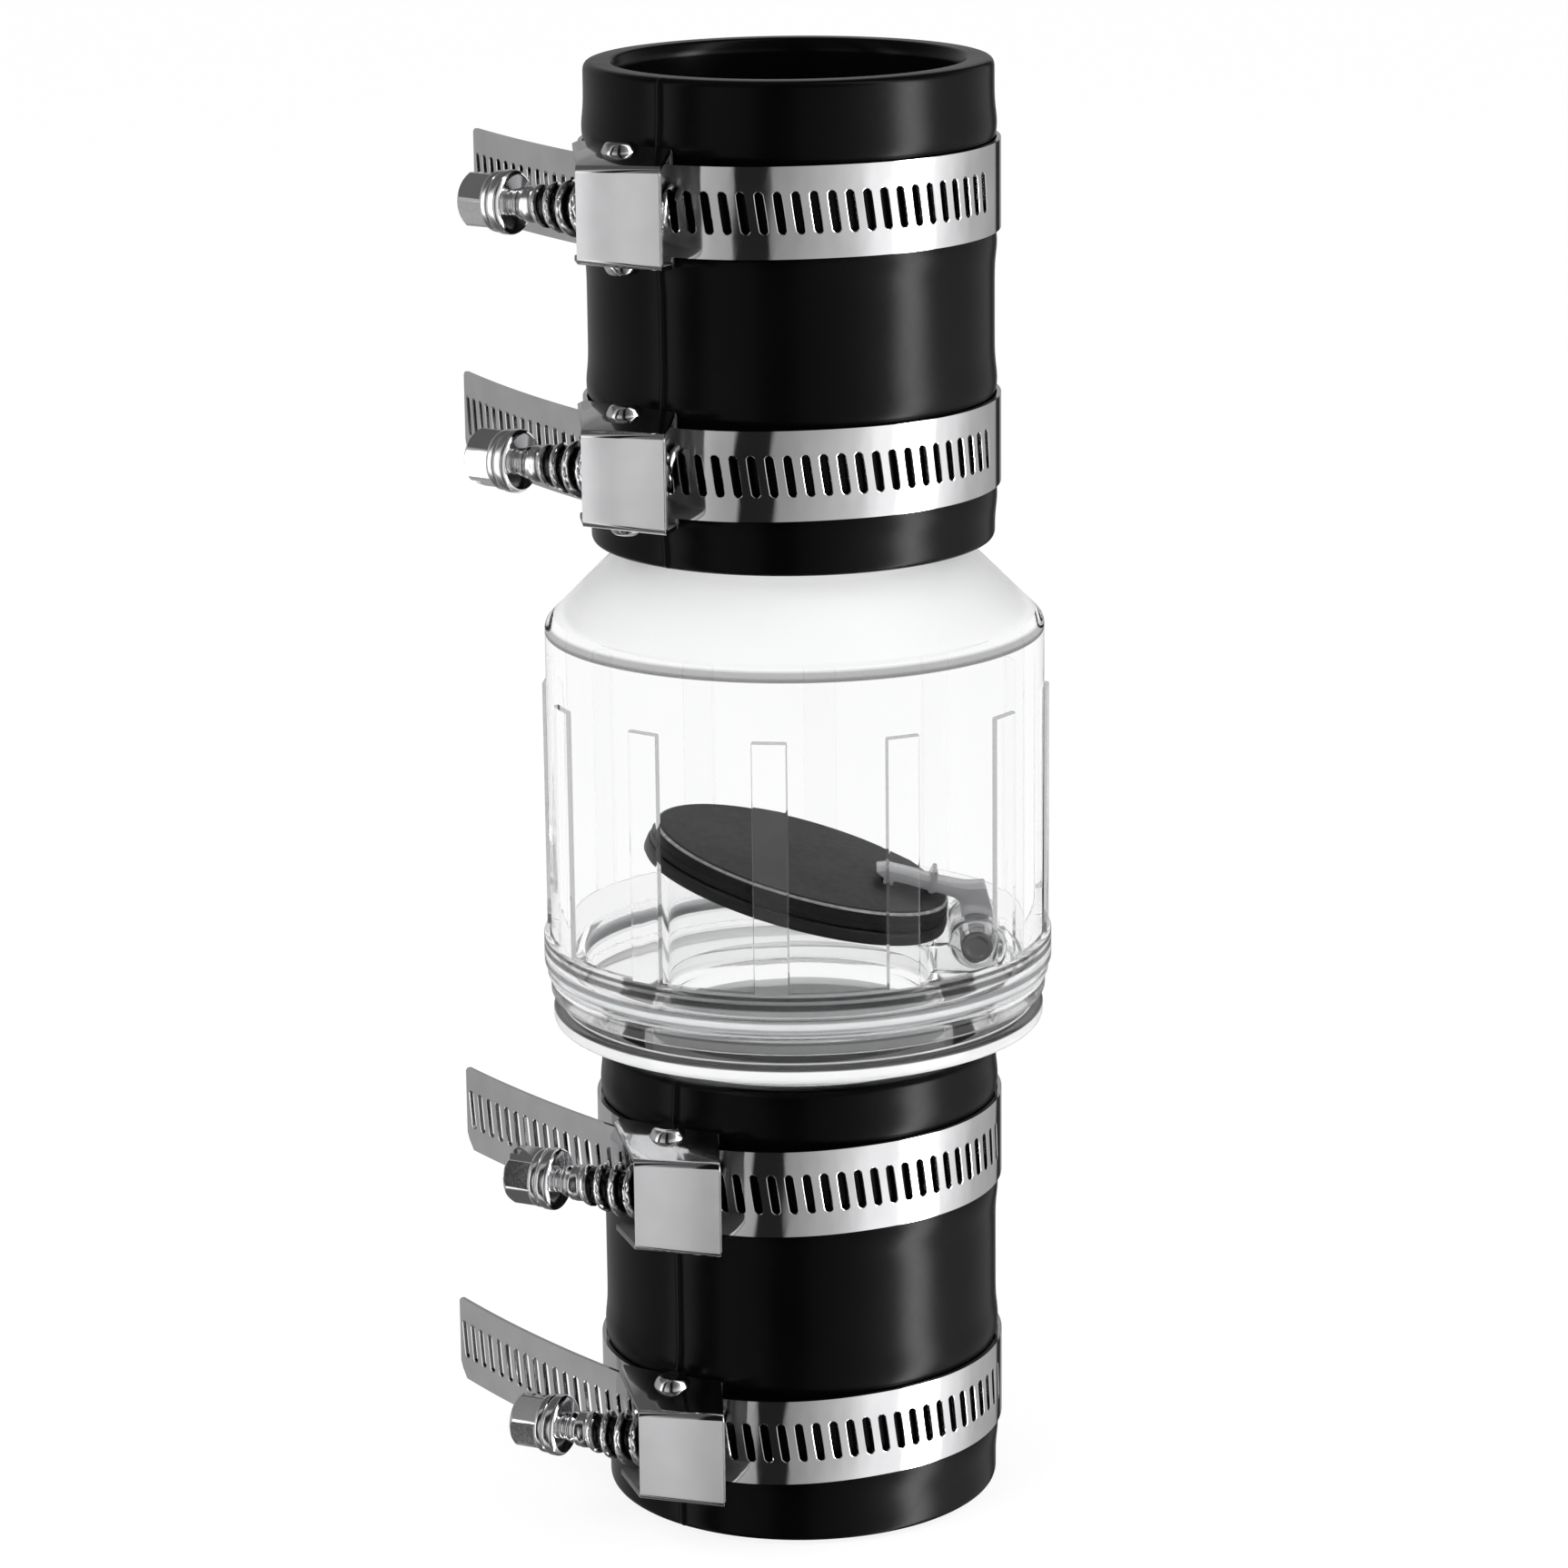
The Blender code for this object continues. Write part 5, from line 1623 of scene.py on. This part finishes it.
@dataclass
class SlottedStrip:
    """A clamp's band: a steel strip with slots, from its loose tip to the end fixed in the housing.

    loop, fixed_layer and free_layer are the centre line's distances from the axis: round the coupling, and
    in its two layers under the cover. lean is the slots' slope, and inner_levels are the heights of the
    points between the long edges. Each cut gives how far it runs along the tip, and how deep it is there.
    """

    width: float = 12.7
    thickness: float = 0.6
    loop: float = 29.6
    fixed_layer: float = 30.6
    free_layer: float = 31.4
    housing_length: float = 12.3
    tongue: float = math.radians(2.0)
    fixed_blend: float = math.radians(19.0)
    foot: float = 1.2
    curl: float = math.radians(50.0)
    leaves: float = math.radians(20.0)
    tail: float = 42.0
    tail_radius: float = 220.0
    pitch: float = 2.5
    slots: int = 43
    tip_margin: float = 0.5
    slot_width: float = 1.2
    slot_length: float = 5.8
    lean: float = math.radians(8.0)
    inner_levels: tuple[float, ...] = (3.4, 1.5, 0.0, -1.5, -3.4)
    lower_cut: tuple[float, float] = (1.2, 2.5)
    upper_cut: tuple[float, float] = (0.5, 0.5)
    punch: float = 0.12

    def layer(self, angle: float, layer: float) -> float:
        """Finds how far a layer is from the axis: flat over the housing's foot, then down to the loop.

        Args:
            angle: Angle from the housing's middle.
            layer: The layer's distance where it is flat.

        Returns:
            The distance.
        """
        half, blend = (self.foot, self.curl) if angle < 0 else (self.housing_length / 2, self.fixed_blend)
        flat = math.atan2(half, layer)
        if abs(angle) <= flat:
            return layer / math.cos(angle)
        share = min(1.0, (abs(angle) - flat) / blend)
        start = layer / math.cos(flat)
        ease = share * share * (3 - 2 * share)
        rise = share * (1 - share) ** 2 * start * math.tan(flat) * blend
        return start * (1 - ease) + self.loop * ease + rise

    def centre_line(self) -> list[Vector]:
        """Draws the strip's centre line in the clamp's plane.

        Returns:
            Its points, from the tip to the fixed end.
        """
        line = []
        step = math.radians(0.5)
        angle = -self.tongue

        def at(radius: float, turn: float) -> Vector:
            """The place at a radius and an angle."""
            return Vector((radius * math.sin(turn), radius * math.cos(turn), 0))

        while angle < math.pi:
            line.append(at(self.layer(angle, self.fixed_layer), angle))
            angle += step
        flat = math.atan2(self.housing_length / 2, self.free_layer)
        leave = max(self.leaves, flat)
        top = self.free_layer / math.cos(flat)
        while angle < 2 * math.pi + leave:
            past = angle - 2 * math.pi
            line.append(at(top if past > flat else self.layer(past, self.free_layer), angle))
            angle += step
        centre = at(top - self.tail_radius, leave)
        for i in range(41):
            line.append(centre + at(self.tail_radius, leave + self.tail / self.tail_radius * i / 40))
        return list(reversed(line))

    def loop_of_slot(self, grow: float) -> list[tuple[float, float]]:
        """Draws the slot's loop, from its middle top clockwise, leaning with the slot.

        Args:
            grow: How far the loop lies outside the slot.

        Returns:
            Its sixteen points.
        """
        half, end = self.slot_width / 2 + grow, self.slot_length / 2 + grow
        straight = end - half
        points = [(0.0, end)]

        def rounding(degrees: tuple[float, float], middle: float) -> list[tuple[float, float]]:
            """Two points of a rounded end, whose middle is at a height."""
            turns = [math.radians(angle) for angle in degrees]
            return [(half * math.cos(turn), middle + half * math.sin(turn)) for turn in turns]

        points += rounding((60, 20), straight)
        points += [(half, straight * 0.5), (half, 0.0), (half, -straight * 0.5)]
        points += rounding((-20, -60), -straight)
        points += [(-x, -z) for x, z in points]
        slope = math.tan(self.lean)
        return [(x - z * slope, z) for x, z in points]

    def loop_of_cell(self, first: bool) -> list[tuple[float, float]]:
        """Draws the cell's loop, with one point for each point of the slot's loop.

        Args:
            first: Whether it is the cell at the tip, whose corners are cut.

        Returns:
            Its sixteen points.
        """
        side = self.pitch / 2
        points = [(0.0, self.width / 2)] + [(side, z) for z in self.edge_levels()]
        points += [(-x, -z) for x, z in points]
        if first:
            top, low = self.cut_edges(self.tip_margin)
            points[9], points[15] = (-side, low), (-side, top)
        return points

    def cut_edges(self, x: float) -> tuple[float, float]:
        """Finds where the strip's long edges are near its tip.

        Args:
            x: Distance from the tip.

        Returns:
            Heights of the upper and the lower edge.
        """
        half = self.width / 2
        top = half - self.upper_cut[1] * max(0.0, 1 - x / self.upper_cut[0])
        low = -half + self.lower_cut[1] * max(0.0, 1 - x / self.lower_cut[0])
        return top, low

    def cell(self, first: bool = False) -> bpy.types.Mesh:
        """Makes one pitch of the strip with its slot, punched from the outside so that its edge is drawn in.

        Args:
            first: Whether it is the cell at the tip.

        Returns:
            The cell, flat along X.
        """
        bm = bmesh.new()
        half = self.thickness / 2
        levels = (
            (self.loop_of_cell(first), half),
            (self.loop_of_slot(self.punch), half),
            (self.loop_of_slot(self.punch * 0.3), half - self.punch * 0.3),
            (self.loop_of_slot(0.0), half - self.punch),
            (self.loop_of_slot(0.0), -half),
            (self.loop_of_cell(first), -half),
        )
        rings = [[bm.verts.new((x, y, z)) for x, z in points] for points, y in levels]
        for near, far in zip(rings, rings[1:]):
            for i in range(len(near)):
                after = (i + 1) % len(near)
                bm.faces.new((near[i], near[after], far[after], far[i]))
        # The strip's long edges close the cell above and below, and its ends stay open
        for a, b in ((15, 0), (0, 1), (7, 8), (8, 9)):
            bm.faces.new((rings[0][a], rings[0][b], rings[-1][b], rings[-1][a]))
        return as_mesh(bm, "cell")

    def edge_levels(self) -> list[float]:
        """Heights of the points that a cell's open end has."""
        half = self.width / 2
        return [half, *self.inner_levels, -half]

    def run(
        self, stations: Sequence[tuple[float, float, float]], closed_start: bool, closed_end: bool
    ) -> bpy.types.Mesh:
        """A plain stretch of strip.

        Args:
            stations: Distance along the strip, and the height of its upper and lower edge there.
            closed_start: Whether the stretch has a face at its start.
            closed_end: Whether it has one at its end.

        Returns:
            The stretch, flat along X.
        """
        bm = bmesh.new()
        half = self.thickness / 2
        rows = []
        for x, top, bottom in stations:
            levels = [min(max(z, bottom), top) for z in self.edge_levels()]
            levels[0], levels[-1] = top, bottom
            rows.append([[bm.verts.new((x, y, z)) for z in levels] for y in (half, -half)])
        for near, far in zip(rows, rows[1:]):
            for layer in (0, 1):
                for i in range(6):
                    bm.faces.new((near[layer][i], near[layer][i + 1], far[layer][i + 1], far[layer][i]))
            for i in (0, 6):
                bm.faces.new((near[0][i], near[1][i], far[1][i], far[0][i]))
        for closed, row in ((closed_start, rows[0]), (closed_end, rows[-1])):
            if closed:
                for i in range(6):
                    bm.faces.new((row[0][i], row[0][i + 1], row[1][i + 1], row[1][i]))
        bmesh.ops.dissolve_degenerate(bm, edges=bm.edges, dist=1e-5)
        return as_mesh(bm, "run")

    def tip(self) -> bpy.types.Mesh:
        """Makes the first stretch and cell, with the upper corner eased and the lower one cut well back.

        Returns:
            Both as one shape, flat along X.
        """
        stations = [(x, *self.cut_edges(x)) for x in (0.0, self.tip_margin / 2, self.tip_margin)]
        bm = bmesh.new()
        bm.from_mesh(self.run(stations, True, False))
        cell = self.cell(True)
        cell.transform(Matrix.Translation((self.tip_margin + self.pitch / 2, 0, 0)))
        bm.from_mesh(cell)
        return as_mesh(bm, "tip")

    def mesh(self) -> bpy.types.Mesh:
        """Makes the whole strip, bent along its centre line.

        Returns:
            The strip.
        """
        line = self.centre_line()
        whole = sum((b - a).length for a, b in zip(line, line[1:]))
        curve = bpy.data.curves.new("centre line", "CURVE")
        curve.dimensions = "3D"
        spline = curve.splines.new("POLY")
        spline.points.add(len(line) - 1)
        for point, spot in zip(spline.points, line):
            point.co = (*spot, 1.0)
        path = linked("centre line", curve)
        slotted = self.tip_margin + self.pitch * self.slots
        half = self.width / 2
        steps = 80
        stations = [(slotted + (whole - slotted) * i / steps, half, -half) for i in range(steps + 1)]
        tip, plain = linked("tip", self.tip()), linked("plain", self.run(stations, False, True))
        values = {
            "Tip": tip,
            "Plain End": plain,
            "Centre Line": path,
            "Slots": self.slots - 1,
            "Pitch": self.pitch,
            "First Slot": self.tip_margin + self.pitch * 1.5,
            "Material": STRIP_STEEL.material(),
        }
        made = run_tree(bpy.data.node_groups.get("bent strip") or bent_strip(), self.cell(), values)
        for used in (tip, plain, path):
            bpy.data.objects.remove(used)
        return made


@dataclass
class ScrewHousing:
    """The sheet-metal box over the strip that holds the worm: tilted cover, flared sides and pressed lugs.

    inner is the distance of the sheet's lower face from the axis. The cover clears a worm of radius worm
    by room at the place lowest along the screw. bend rounds the sheet's folds, and soft its cut edges.
    """

    sheet: float = 0.8
    length: float = 12.3
    half_width: float = 8.0
    taper: float = 0.14
    scoop: float = 8.5
    scoop_height: float = 1.6
    undercut: float = 5.0
    lip: float = 3.6
    tilt: float = math.radians(12.0)
    inner: float = 29.3
    bend: float = 0.75
    soft: float = 0.12
    worm: float = 4.0
    room: float = 0.3
    lowest: float = 1.3
    lug_radius: float = 2.7
    lug_proud: float = 1.8
    lug_shift: float = 5.2

    def cover(self, place: float, screw: float) -> float:
        """Height of the cover's mid-plane at a place along the screw."""
        slope = (place - self.lowest) * math.tan(self.tilt)
        return screw + self.worm + self.room + self.sheet / 2 / math.cos(self.tilt) + slope

    def folded(self, screw: float) -> bpy.types.Mesh:
        """Makes the folded sheet with rounded bends.

        Args:
            screw: Distance of the screw from the axis.

        Returns:
            The sheet.
        """
        right, left = -self.length / 2, self.length / 2
        bottom = self.inner + self.sheet / 2
        scoop = left + self.scoop
        foot = right + self.undercut
        side = [(foot, bottom), (right, self.cover(right, screw)), (left, self.cover(left, screw))]
        side += [(scoop, bottom + self.scoop_height), (scoop, bottom), (left, bottom)]
        count = len(side)
        points = []
        for sign in (1, -1):
            points += [(t, n, sign * (self.half_width - self.taper * (n - bottom))) for t, n in side]
        for sign in (1, -1):
            points += [(t, bottom, sign * (self.half_width - self.lip)) for t in (foot, left)]
        upper, lower = list(range(count)), [count + i for i in range(count)]
        faces = [upper, list(reversed(lower)), [upper[2], upper[1], lower[1], lower[2]]]
        faces.append([upper[0], upper[5], 2 * count + 1, 2 * count])
        faces.append([lower[5], lower[0], 2 * count + 2, 2 * count + 3])
        mesh = bpy.data.meshes.new("housing")
        mesh.from_pydata(points, [], faces)
        body = linked("housing", mesh)
        add_bevel(body, "folds", self.bend, 5, math.radians(30))
        sheet = body.modifiers.new("sheet", "SOLIDIFY")
        sheet.solidify_mode, sheet.thickness, sheet.offset = "NON_MANIFOLD", self.sheet, 0.0
        add_bevel(body, "edges", self.soft, 2, math.radians(40))
        return cleaned(taken(body))

    def lug(self, side: Side) -> bpy.types.Mesh:
        """Makes one lug, a half-round hump pressed out of the side.

        Args:
            side: Which side it is on.

        Returns:
            The lug.
        """
        height = self.inner + self.sheet + self.lug_radius
        base = self.half_width - self.taper * self.lug_radius - 0.2
        r, proud = self.lug_radius, self.lug_proud
        corners = [Corner(0, base + proud), Corner(r * 0.75, base + proud, 1.2)]
        corners += [Corner(r, base + proud * 0.25, 0.8), Corner(r, base - 0.3), Corner(0, base - 0.3)]
        mesh = turned("lug", softened(corners, 5, closed=False), 48)
        turn = Matrix() if side is Side.HIGH else Matrix.Rotation(math.pi, 4, "Y")
        mesh.transform(Matrix.Translation((self.lug_shift, height, 0)) @ turn)
        return cleaned(mesh)

    def mesh(self, screw: float) -> bpy.types.Mesh:
        """The housing with both its lugs."""
        return combined(self.folded(screw), [(Step.JOIN, self.lug(side)) for side in (Side.HIGH, Side.LOW)])


@dataclass
class WormScrew:
    """A clamp's screw along X: worm, neck, collar and a hexagon head with a slot.

    across is the hexagon's width over its flats, and sunk how far the hexagon goes into the collar.
    """

    start: float = -2.6
    end: float = 18.2
    root: float = 2.6
    crest: float = 4.0
    pitch: float = 2.5
    tip_runout: float = 3.9
    neck_runout: float = 7.5
    shank: float = 2.3
    collar: float = 4.0
    collar_radius: float = 4.5
    across: float = 7.4
    head: float = 4.2
    slot_width: float = 1.2
    slot_depth: float = 1.6
    sunk: float = 0.6

    def worm(self) -> bpy.types.Mesh:
        """Makes the worm, wound from a flat grid and closed at both ends.

        Returns:
            The worm.
        """
        bm = bmesh.new()
        place = Matrix.Translation((0.5, 0.5, 0))
        bmesh.ops.create_grid(bm, x_segments=110, y_segments=40, size=0.5, matrix=place)
        values = {
            "Start": self.start,
            "Length": self.end - self.start,
            "Pitch": self.pitch,
            "Root": self.root,
            "Crest": self.crest,
            "Tip Runout": self.tip_runout,
            "Neck Runout": self.neck_runout,
            "Material": SCREW_STEEL.material(),
        }
        made = run_tree(worm_thread(), as_mesh(bm, "worm"), values)
        bm = bmesh.new()
        bm.from_mesh(made)
        bmesh.ops.holes_fill(bm, edges=[e for e in bm.edges if e.is_boundary])
        return finish_bmesh(bm, "worm")

    def head_mesh(self) -> bpy.types.Mesh:
        """Makes the neck, collar and hexagon head, with the screwdriver's slot cut.

        Returns:
            The neck and head as one solid.
        """
        collar = self.end + self.shank
        face = collar + self.collar
        top = face + self.head
        r, root = self.collar_radius, self.root
        corners = [
            Corner(0, face),
            Corner(r - 0.5, face, 0.3),
            Corner(r - 0.2, face - 0.5, 0.2),
            Corner(r - 0.2, face - 1.3, 0.2),
            Corner(r - 0.4, face - 1.5, 0.15),
            Corner(r, face - 1.8, 0.2),
            Corner(r, collar + 0.9, 0.3),
            Corner(r - 0.5, collar + 0.5, 0.3),
            Corner(root - 0.8, collar, 0.3),
            Corner(root - 0.2, collar - 0.7, 0.5),
            Corner(root - 0.9, collar - 1.5, 0.3),
            Corner(root, collar - 1.8, 0.2),
            Corner(root, self.end - 0.4),
            Corner(0, self.end - 0.4),
        ]
        neck = turned("neck", softened(corners, 5, closed=False), 64)
        bm = bmesh.new()
        radius = self.across / math.sqrt(3)
        tall = self.head + self.sunk
        bmesh.ops.create_cone(bm, cap_ends=True, segments=6, radius1=radius, radius2=radius, depth=tall)
        bmesh.ops.translate(bm, verts=bm.verts, vec=(0, 0, top - tall / 2))
        hexagon = bevelled(finish_bmesh(bm, "hexagon"), 0.25, 3)
        dome = [Corner(0, top), Corner(self.across / 2 - 0.2, top, 0.3), Corner(radius + 0.1, top - 1.0, 0.6)]
        dome += [Corner(radius + 0.1, face - 0.7), Corner(0, face - 0.7)]
        crown = turned("crown", softened(dome, 5, closed=False), 64)
        half = self.slot_width / 2
        slot = box_mesh("slot", Vector((-6, -half, top - self.slot_depth)), Vector((6, half, top + 1)))
        head = combined(cleaned(hexagon), [(Step.KEEP, crown), (Step.CUT, slot)])
        whole = combined(neck, [(Step.JOIN, head)])
        whole.transform(Matrix.Rotation(math.pi / 2, 4, "Y"))
        return whole

    def mesh(self) -> bpy.types.Mesh:
        """Makes the whole screw, with its groove's depth stored for the painted groove shade.

        Returns:
            The screw along X.
        """
        whole = combined(self.worm(), [(Step.JOIN, self.head_mesh())])
        deep = whole.attributes.new("groove", "FLOAT", "POINT")
        for point in whole.vertices:
            x, radius = point.co.x, math.hypot(point.co.y, point.co.z)
            rise = min(1.0, (x - self.start) / self.tip_runout, (self.end - x) / self.neck_runout)
            crest = self.root + (self.crest - self.root) * rise
            inside = self.start + 0.3 < x < self.end - 0.3
            depth = (crest - radius) / max(0.5, crest - self.root)
            deep.data[point.index].value = depth if inside else 0.0
        return whole


@dataclass
class WormDriveClamp:
    """One clamp, set round a coupling at a height and facing a way.

    screw is the screw's distance from the axis, and cover_rise how far over it the cover's faces start.
    """

    name: str
    height: float
    facing: float
    tail: float
    turn: float
    shapes: dict[str, bpy.types.Mesh]
    screw: float = 35.95
    cover_rise: float = 3.5

    def build(self) -> None:
        """Makes the clamp's own strip, and its housing and screw from the shapes that all four share."""
        place = Matrix.Translation((0, 0, self.height)) @ Matrix.Rotation(math.pi - self.facing, 4, "Z")
        more = round((self.tail - SlottedStrip.tail) / SlottedStrip.pitch)
        strip = SlottedStrip(tail=self.tail, slots=SlottedStrip.slots + more).mesh()
        band, box_node, screw = (self.name + end for end in ("_band", "_housing", "_screw"))
        piece(self.name + "_strip", strip, STRIP_STEEL, "valve", [band], place, edge=math.radians(15))
        sheet = self.shapes["housing"].copy()
        box = piece(self.name + "_box", sheet, HOUSING_STEEL, "valve", [box_node], place)
        out = place.to_3x3() @ Vector((0, 1, 0))

        def side(middle: Vector, normal: Vector) -> Optional[Finish]:
            """Picks the bright finish for the bent edges and side faces, and the darker painted-shade one
            inside.

            Args:
                middle: The face's middle in millimetres.
                normal: Its normal.

            Returns:
                The finish, or None on top of the cover.
            """
            square_on = normal.dot(out)
            if square_on > 0.2 and Vector((middle.x, middle.y, 0)).dot(out) > self.screw + self.cover_rise:
                return None if square_on > 0.95 else SHEET_STEEL
            # Faces inside the housing take the steel darkened as painted shade
            return SHEET_STEEL if normal.z * (middle.z - self.height) > 0.3 else SHADED_INNER_STEEL

        redress(box, (SHEET_STEEL, SHADED_INNER_STEEL), side)
        place = place @ Matrix.Translation((0, self.screw, 0)) @ Matrix.Rotation(self.turn, 4, "X")
        piece(self.name + "_worm", self.shapes["screw"].copy(), SCREW_STEEL, screw, [screw], place)


# The studio


def mirrored(bench: NodeBench, path: bpy.types.Node) -> Socket:
    """Whether a ray is a reflection. A ray bent through plastic counts as glossy too, and is left out."""
    through = bench.math("SUBTRACT", 1.0, path.outputs["Is Transmission Ray"])
    return bench.scaled(path.outputs["Is Glossy Ray"], through)


@dataclass(frozen=True)
class Lamp:
    """A soft rectangular lamp."""

    name: str
    place: tuple[float, float, float]
    size: tuple[float, float]
    power: float


@dataclass
class Studio:
    """The pale floor, the white surround, the lamps and the camera."""

    eye: tuple[float, float, float] = (0.0, -0.7300, 0.2955)
    yaw: float = math.radians(-0.139)
    pitch: float = math.radians(14.520)
    roll: float = math.radians(0.656)
    lens: float = 118.76
    sensor: float = 36.0
    middle: tuple[float, float, float] = (0.0, 0.0, 0.106)
    lamps: tuple[Lamp, ...] = (
        Lamp("lamp over the left", (-0.55, -0.45, 0.75), (0.5, 0.5), 4.0),
        Lamp("lamp at the right", (0.75, -0.20, 0.45), (0.25, 0.7), 3.0),
    )
    # How much less of the plain surround lights matt surfaces
    matt_loss: float = 0.15
    # Brightness of the surround that scattered light sees through plastic
    scattered_light: float = 1.15
    # The floor's own glow, and how much of it is mixed into what the camera sees
    glow: float = 1.03
    glow_share: float = 0.85
    floor_drop: float = 0.0006
    # Brightness of the surround that gloss reflects, by the angle from the front towards +X
    surround: tuple[tuple[float, float], ...] = (
        (-180, 0.35), (-86, 0.45), (-81, 1.6), (-68, 1.6), (-65, 0.4), (-64, 0.03), (-51, 0.03),
        (-50, 0.70), (-34, 0.52), (-19, 0.42), (-17.5, 0.02), (2, 0.02), (3.5, 0.34), (12, 0.40),
        (20, 0.50), (30, 0.63), (38, 0.84), (46, 1.20), (58, 1.35), (63, 8.0), (66, 14.0), (74, 14.0),
        (78, 8.0), (85, 1.3), (115, 0.6), (150, 0.4), (153, 0.03), (163, 0.03), (166, 0.4), (180, 0.35),
    )
    # How much of that is left by height, from straight down at -1 to straight up at 1
    heights: tuple[tuple[float, float], ...] = (
        (-1.0, 0.25), (-0.8, 0.3), (-0.55, 1.0), (0.3, 1.0), (0.55, 0.3), (1.0, 0.2),
    )
    # Brightness of the backdrop that shows through plastic, by the same angle
    backdrop: tuple[tuple[float, float], ...] = (
        (-180, 1.0), (-145, 1.0), (-125, 0.45), (125, 0.45), (145, 1.0), (180, 1.0),
    )

    def build_world(self) -> None:
        """Makes the white surround, which gloss sees as soft boxes and dark gaps."""
        world = bpy.data.worlds.new("surround")
        bpy.context.scene.world = world
        world.use_nodes = True
        tree = world.node_tree
        tree.nodes.clear()
        bench = NodeBench(tree)
        path = bench.add("ShaderNodeLightPath")
        way = bench.add("ShaderNodeSeparateXYZ", Vector=bench.add("ShaderNodeTexCoord").outputs["Generated"])
        angle = bench.math("ARCTAN2", way.outputs[0], bench.scaled(way.outputs[1], -1.0))
        angle = bench.math("DEGREES", angle)
        gloss = bench.scaled(bench.profile(angle, self.surround), bench.profile(way.outputs[2], self.heights))
        plain = bench.math("SUBTRACT", 1.0, bench.scaled(path.outputs["Is Diffuse Ray"], self.matt_loss))
        # Light that has come off a piece shows the whole surround through the plastic, not the backdrop alone
        scattered = bench.math("MINIMUM", path.outputs["Diffuse Depth"], 1.0)
        backdrop = bench.between(scattered, bench.profile(angle, self.backdrop), self.scattered_light)
        plain = bench.between(path.outputs["Is Transmission Ray"], plain, backdrop)
        seen = bench.between(mirrored(bench, path), plain, gloss)
        back = bench.add("ShaderNodeBackground", Color=(1.0, 1.0, 1.0, 1.0), Strength=seen)
        bench.add("ShaderNodeOutputWorld", Surface=back.outputs[0])

    def build_floor(self) -> None:
        """Makes the pale floor, which shows white where no shadow falls."""
        bm = bmesh.new()
        bmesh.ops.create_grid(bm, x_segments=1, y_segments=1, size=4.0)
        floor = linked("floor", as_mesh(bm, "floor"))
        floor.location.z = -self.floor_drop
        pale = bpy.data.materials.new("pale floor")
        pale.use_nodes = True
        pale.node_tree.nodes.clear()
        bench = NodeBench(pale.node_tree)
        path = bench.add("ShaderNodeLightPath")
        seen = bench.math("MAXIMUM", path.outputs["Is Camera Ray"], path.outputs["Is Transmission Ray"])
        matt = bench.add("ShaderNodeBsdfDiffuse", Color=(0.9, 0.9, 0.9, 1.0))
        glow = bench.add("ShaderNodeEmission", Color=(1.0, 1.0, 1.0, 1.0), Strength=self.glow)
        # A mirrored ray goes on to the surround, so that gloss sees no floor
        nothing = bench.add("ShaderNodeBsdfTransparent")
        mixed = bench.shaders(bench.scaled(seen, self.glow_share), matt.outputs[0], glow.outputs[0])
        clear = bench.shaders(mirrored(bench, path), mixed, nothing.outputs[0])
        bench.add("ShaderNodeOutputMaterial", Surface=clear)
        floor.data.materials.append(pale)

    def build_lamps(self) -> None:
        """Makes the soft lamps, aimed at the middle of the valve."""
        for lamp in self.lamps:
            light = bpy.data.lights.new(lamp.name, "AREA")
            light.shape = "RECTANGLE"
            light.size, light.size_y = lamp.size
            light.energy = lamp.power
            obj = linked(lamp.name, light)
            obj.location = lamp.place
            aim = Vector(self.middle) - obj.location
            obj.rotation_euler = aim.to_track_quat("-Z", "Y").to_euler()
            obj.visible_glossy = False

    def build_camera(self) -> None:
        """Makes the camera at the photograph's angle."""
        data = bpy.data.cameras.new("camera")
        data.lens, data.sensor_width, data.sensor_fit = self.lens, self.sensor, "HORIZONTAL"
        data.clip_start, data.clip_end = 0.01, 20.0
        camera = linked("camera", data)
        level = math.cos(self.pitch)
        ahead = Vector((math.sin(self.yaw) * level, math.cos(self.yaw) * level, -math.sin(self.pitch)))
        right = Vector((math.cos(self.yaw), -math.sin(self.yaw), 0))
        down = ahead.cross(right)
        turn_right = math.cos(self.roll) * right + math.sin(self.roll) * down
        turn_down = -math.sin(self.roll) * right + math.cos(self.roll) * down
        axes = Matrix((turn_right, -turn_down, -ahead)).transposed().to_4x4()
        camera.matrix_world = Matrix.Translation(self.eye) @ axes
        bpy.context.scene.camera = camera

    def build(self) -> None:
        """Makes the whole studio."""
        bpy.context.scene.view_settings.view_transform = "Standard"
        self.build_world()
        self.build_floor()
        self.build_lamps()
        self.build_camera()


def main() -> None:
    """Builds the studio and every piece of the valve."""
    logging.basicConfig(level=logging.INFO, format="%(name)s: %(message)s")
    Studio().build()
    RubberCoupling("inlet_coupling", 0.0, (16.2, 54.0)).build()
    RubberCoupling("outlet_coupling", 143.5, (158.0, 194.4)).build()
    seat = Seat()
    Chamber().build()
    Base(seat).build()
    SealRing().build()
    Flap(seat).build()
    shapes = {"housing": ScrewHousing().mesh(WormDriveClamp.screw), "screw": WormScrew().mesh()}
    for name, height, degrees, tail, turn in (
        ("outlet_end_clamp", 194.4, 35.0, 38.0, 8.0),
        ("outlet_neck_clamp", 158.0, 35.0, 44.5, 26.0),
        ("inlet_neck_clamp", 54.0, 25.5, 43.0, -12.0),
        ("inlet_end_clamp", 16.2, 25.5, 47.0, 18.0),
    ):
        WormDriveClamp(name, height, math.radians(degrees), tail, math.radians(turn), shapes).build()


if __name__ == "__main__":
    main()
